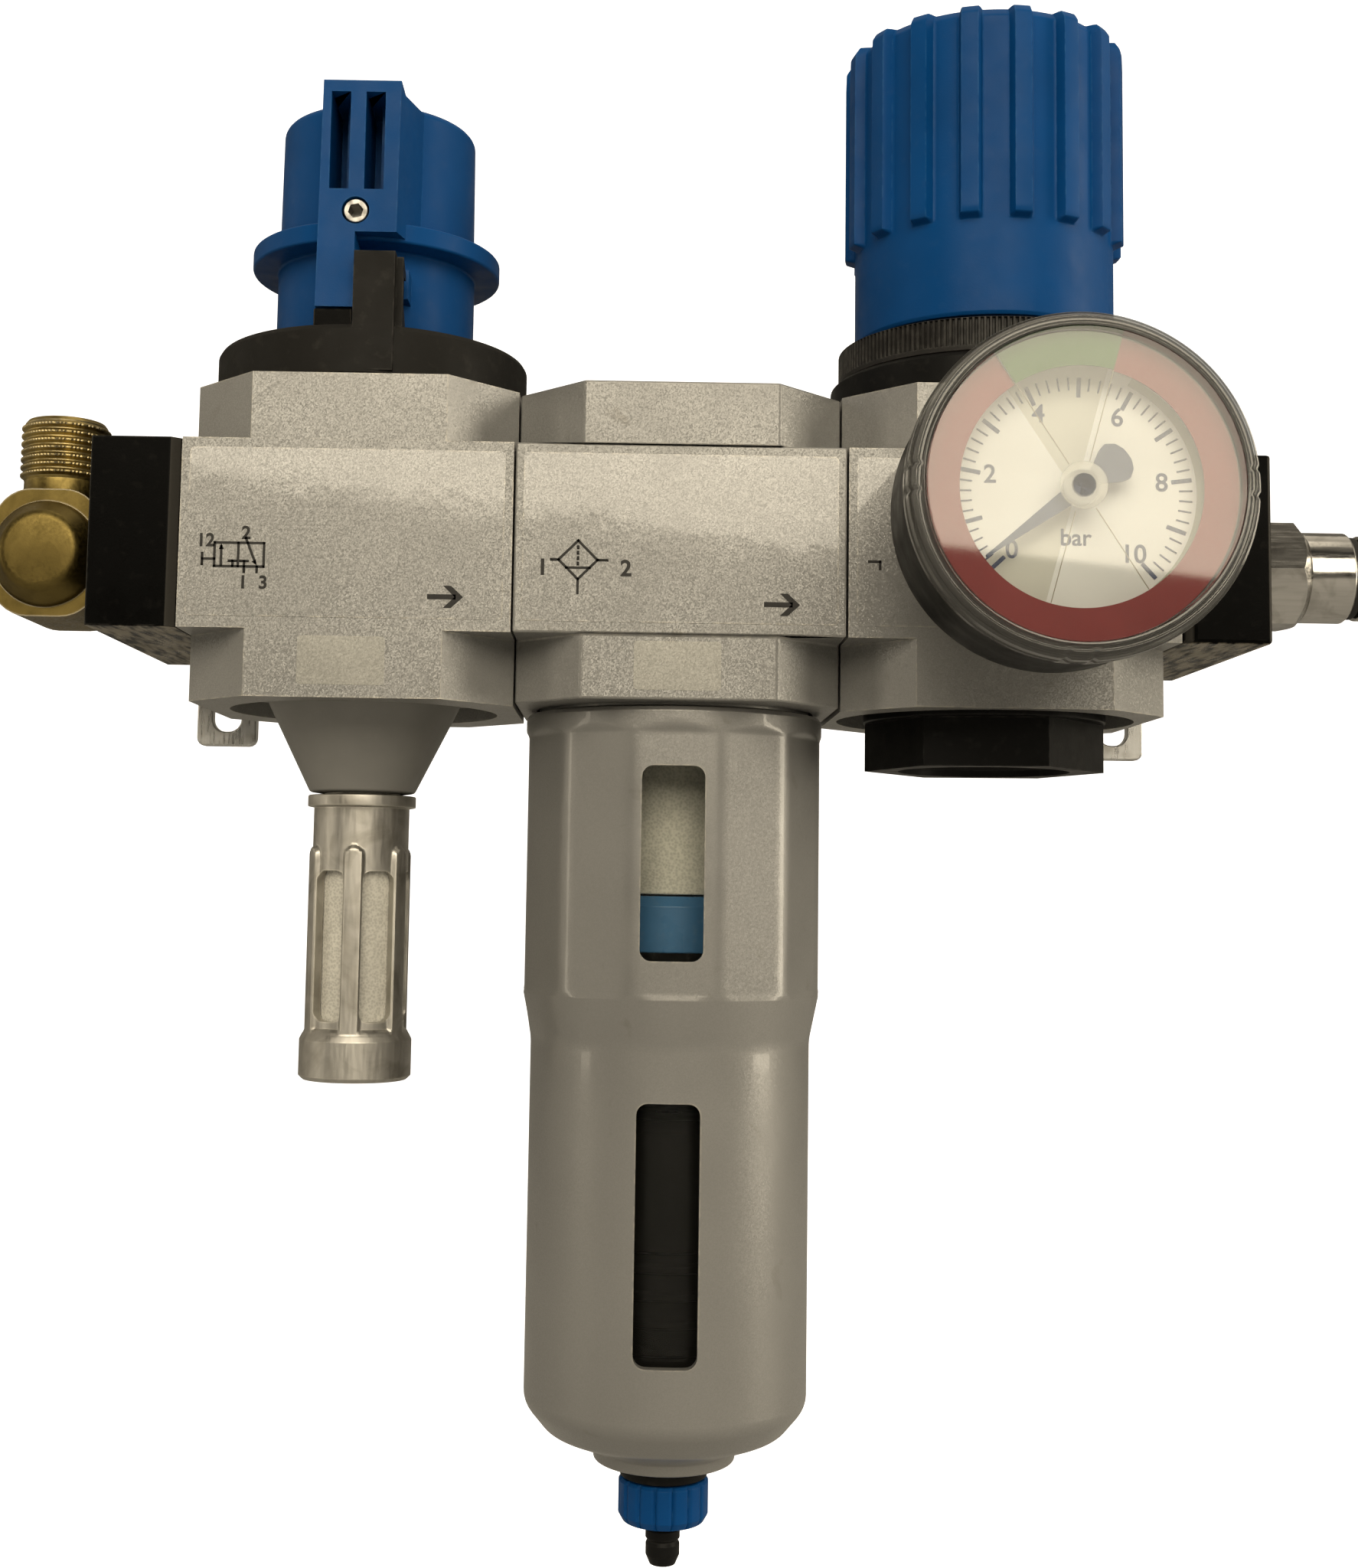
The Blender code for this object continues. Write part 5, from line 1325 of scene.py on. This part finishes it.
def labels():
    """One clear film over the band of each module, and printed symbols and port numbers of a generic kind."""
    face = AXIS_Y - FRONT_Y
    numbers = [("shutoff", SHUTOFF, "12", -22.9, -1.5, 3.0), ("shutoff", SHUTOFF, "2", -16.3, -0.2, 3.0)]
    numbers += [("shutoff", SHUTOFF, "1", -16.6, -8.4, 3.0), ("shutoff", SHUTOFF, "3", -13.3, -8.4, 3.0)]
    numbers += [("filter", FILTER, "1", -22.6, -5.1, 3.7), ("filter", FILTER, "2", -8.9, -5.1, 3.7)]
    for word, module, number, x, z, size in numbers:
        lettering(f"{word}_port_{number}", number, size, (x, z), face + 0.06, INK, module, 0.028)
    for word, module in (("shutoff", SHUTOFF), ("filter", FILTER), ("regulator", REGULATOR)):
        film = prism(rectangle(-26.0, 26.0, -13.9, 14.2), face - 0.05, face + 0.08, at(module), "-Y", 0.8)
        piece(f"{word}_label", film, "silver_paint", "unit", finish=LABEL_FINISH, bevel=0.03)
        small = prism(rectangle(-7.4, 6.9, -24.9, -16.9), face - 0.05, face + 0.07, at(module), "-Y", 0.6)
        if word != "regulator":
            piece(f"{word}_sticker", small, "silver_paint", "unit", finish=STICKER_FINISH)
    line = 0.42
    valve = [stroke((-20.6, 0.6), (-12.5, 0.6), line), stroke((-20.6, -3.3), (-12.5, -3.3), line)]
    valve += [stroke((x, 0.6), (x, -3.3), line) for x in (-20.6, -16.7, -12.5)]
    valve += [stroke((-19.5, -3.1), (-19.5, 0.0), line), stroke((-15.5, 1.4), (-13.9, -2.6), line)]
    valve += [stroke((-17.6, -3.3), (-17.6, -2.4), line), stroke((-18.2, -2.4), (-17.0, -2.4), line)]
    valve += [stroke((-15.7, -4.2), (-15.7, -2.4), line), stroke((-16.3, -2.4), (-15.1, -2.4), line)]
    valve += [stroke((-13.6, -4.2), (-13.6, -3.3), line)]
    valve += [[(-19.5, 0.5), (-19.9, -0.5), (-19.1, -0.5)], [(-13.6, -3.1), (-14.5, -2.5), (-13.8, -2.1)]]
    valve += [stroke((-22.6, -3.0), (-22.6, -1.2), line), stroke((-22.6, -2.1), (-20.6, -2.1), line)]
    printed("shutoff_symbol", valve, SHUTOFF, (-0.8, -2.4))
    printed("shutoff_arrow", arrow(16.7, -10.2), SHUTOFF)
    top, left, right, foot = (-16.8, 3.4), (-20.0, 0.2), (-13.6, 0.2), (-16.8, -3.0)
    sieve = [stroke(a, b, line) for a, b in ((top, left), (left, foot), (foot, right), (right, top))]
    sieve += [
        stroke((-21.2, 0.2), left, line), stroke(right, (-12.0, 0.2), line),
        stroke(foot, (-16.8, -5.3), line),
    ]
    sieve += [stroke((-18.7, -1.1), (-14.9, -1.1), line)]
    sieve += [stroke((-16.8, z), (-16.8, z - 0.25), line) for z in (2.4, 1.5, 0.6, -0.3)]
    printed("filter_symbol", sieve, FILTER, (0.0, -3.9))
    printed("filter_arrow", arrow(16.9, -10.6), FILTER)
    hook = [stroke((-24.0, -3.2), (-22.2, -3.2), line), stroke((-22.2, -3.2), (-22.2, -4.4), line)]
    printed("regulator_symbol", hook, REGULATOR)


# --- Stage, lights and camera -------------------------------------------------------------------------------


LIGHT_TINT = (1.0, 0.89, 0.70)


def softbox(name, place, turn, width, height, radiance):
    """A rectangular area light of a given radiance. Unturned, it faces +Y; turn is in degrees."""
    light = bpy.data.lights.new(name, "AREA")
    light.shape = "RECTANGLE"
    light.size, light.size_y = width, height
    light.energy = radiance * pi * width * height
    light.color = LIGHT_TINT
    lamp = linked(name, light)
    lamp.location = place
    lamp.rotation_euler = (radians(90 + turn[0]), radians(turn[1]), radians(turn[2]))


def camera_only_glow(tree, base, glow):
    """Adds light that only the camera sees, so that a pale surface reads as white without more light."""
    path = tree.nodes.new("ShaderNodeLightPath")
    light = tree.nodes.new("ShaderNodeEmission")
    light.inputs["Color"].default_value = (1, 1, 1, 1)
    strength = tree.nodes.new("ShaderNodeMath")
    strength.operation = "MULTIPLY"
    strength.inputs[1].default_value = glow
    total = tree.nodes.new("ShaderNodeAddShader")
    tree.links.new(path.outputs["Is Camera Ray"], strength.inputs[0])
    tree.links.new(strength.outputs[0], light.inputs["Strength"])
    tree.links.new(base, total.inputs[0])
    tree.links.new(light.outputs[0], total.inputs[1])
    return total.outputs[0]


def floor():
    """A pale floor that sweeps up into a backdrop."""
    height = cad_box[0].z - 0.07
    reach, back, radius, top = 4.0, 2.2, 0.9, 3.0
    line = [(-reach, height), (back - radius, height)]
    line += [(back - radius + x, height + radius + z) for x, z in arc(radius, -90, 90, 10)[1:]]
    line += [(back, top)]
    bm = bmesh.new()
    rows = [[bm.verts.new((x, y, z)) for x in (-reach, reach)] for y, z in line]
    for near, far in zip(rows, rows[1:]):
        bm.faces.new((near[0], near[1], far[1], far[0]))
    mesh = bpy.data.meshes.new("floor")
    bm.to_mesh(mesh)
    bm.free()
    for polygon in mesh.polygons:
        polygon.use_smooth = True
    made = linked("floor", mesh)
    paper = Recipe("pale_floor", (0.45, 0.45, 0.45), 0.9)
    paper.tint(paper.node("LightPath").outputs["Is Camera Ray"], (0.85, 0.85, 0.85))
    paper.shade(paper.noise(400, 2), 0.99, 1.01)
    material = paper.done()
    surface = camera_only_glow(paper.tree, paper.shader.outputs[0], 1.0)
    paper.feed(paper.tree.nodes["Material Output"].inputs["Surface"], surface)
    mesh.materials.append(material)


def lighting():
    """A bright backdrop, a dark room in front, and a large softbox that starts a little above the camera."""
    world = bpy.data.worlds.new("studio")
    bpy.context.scene.world = world
    world.use_nodes = True
    tree = world.node_tree
    background = tree.nodes["Background"]
    background.inputs["Color"].default_value = (*LIGHT_TINT, 1.0)
    direction = tree.nodes.new("ShaderNodeSeparateXYZ")
    tree.links.new(tree.nodes.new("ShaderNodeTexCoord").outputs["Generated"], direction.inputs[0])
    behind = tree.nodes.new("ShaderNodeMapRange")
    for key, number in (("From Min", -0.45), ("From Max", 0.5), ("To Min", 0.05), ("To Max", 0.85)):
        behind.inputs[key].default_value = number
    tree.links.new(direction.outputs["Y"], behind.inputs["Value"])
    tree.links.new(behind.outputs["Result"], background.inputs["Strength"])
    surface = camera_only_glow(tree, background.outputs[0], 1.0)
    tree.links.new(surface, tree.nodes["World Output"].inputs["Surface"])
    softbox("front_softbox", (0.0, -1.8, 1.06), (0, 6, 0), 2.04, 1.45, 5.0)
    softbox("right_strip", (1.6, -0.35, 0.1), (0, 0, 78), 0.5, 1.7, 7.0)
    softbox("left_strip", (-1.5, -0.5, -0.1), (0, 0, -72), 0.24, 1.3, 3.2)
    softbox("top_softbox", (0.2, -0.1, 1.6), (-90, 0, 0), 1.0, 0.6, 1.2)
    bpy.context.scene.view_settings.view_transform = "Standard"
    bpy.context.scene.view_settings.look = "None"


def camera():
    """A close view from a little left of the filter, below its ports, looking slightly up."""
    place = Vector((-7.985, -308.95 + FRONT_Y, -56.357)) * MM
    turn = Vector((radians(-5.174), radians(-0.250), radians(0.919)))
    to_view = Matrix.Rotation(turn.length, 3, turn.normalized()) @ Matrix(
        ((1, 0, 0), (0, 0, -1), (0, 1, 0))
    )
    right, down, ahead = to_view
    data = bpy.data.cameras.new("camera")
    data.sensor_width = 36.0
    data.lens = 43.72
    data.shift_x, data.shift_y = 0.0273, -0.0468
    data.clip_start, data.clip_end = 0.01, 50.0
    made = linked("camera", data)
    axes = Matrix((right, -down, -ahead)).transposed()
    made.matrix_world = Matrix.Translation(place) @ axes.to_4x4()
    bpy.context.scene.camera = made


housings()
ends_and_fittings()
shutoff_valve()
filter_unit()
regulator_knob()
regulator_outside()
regulator_insides()
gauge()
labels()

# The frame's own coarse tube stays: it lies behind the dial and only needs its metal.
tube = frame["nodes"]["bourdon_tube"]
tube.data.materials.clear()
tube.data.materials.append(MATERIALS["brass"])

floor()
lighting()
camera()
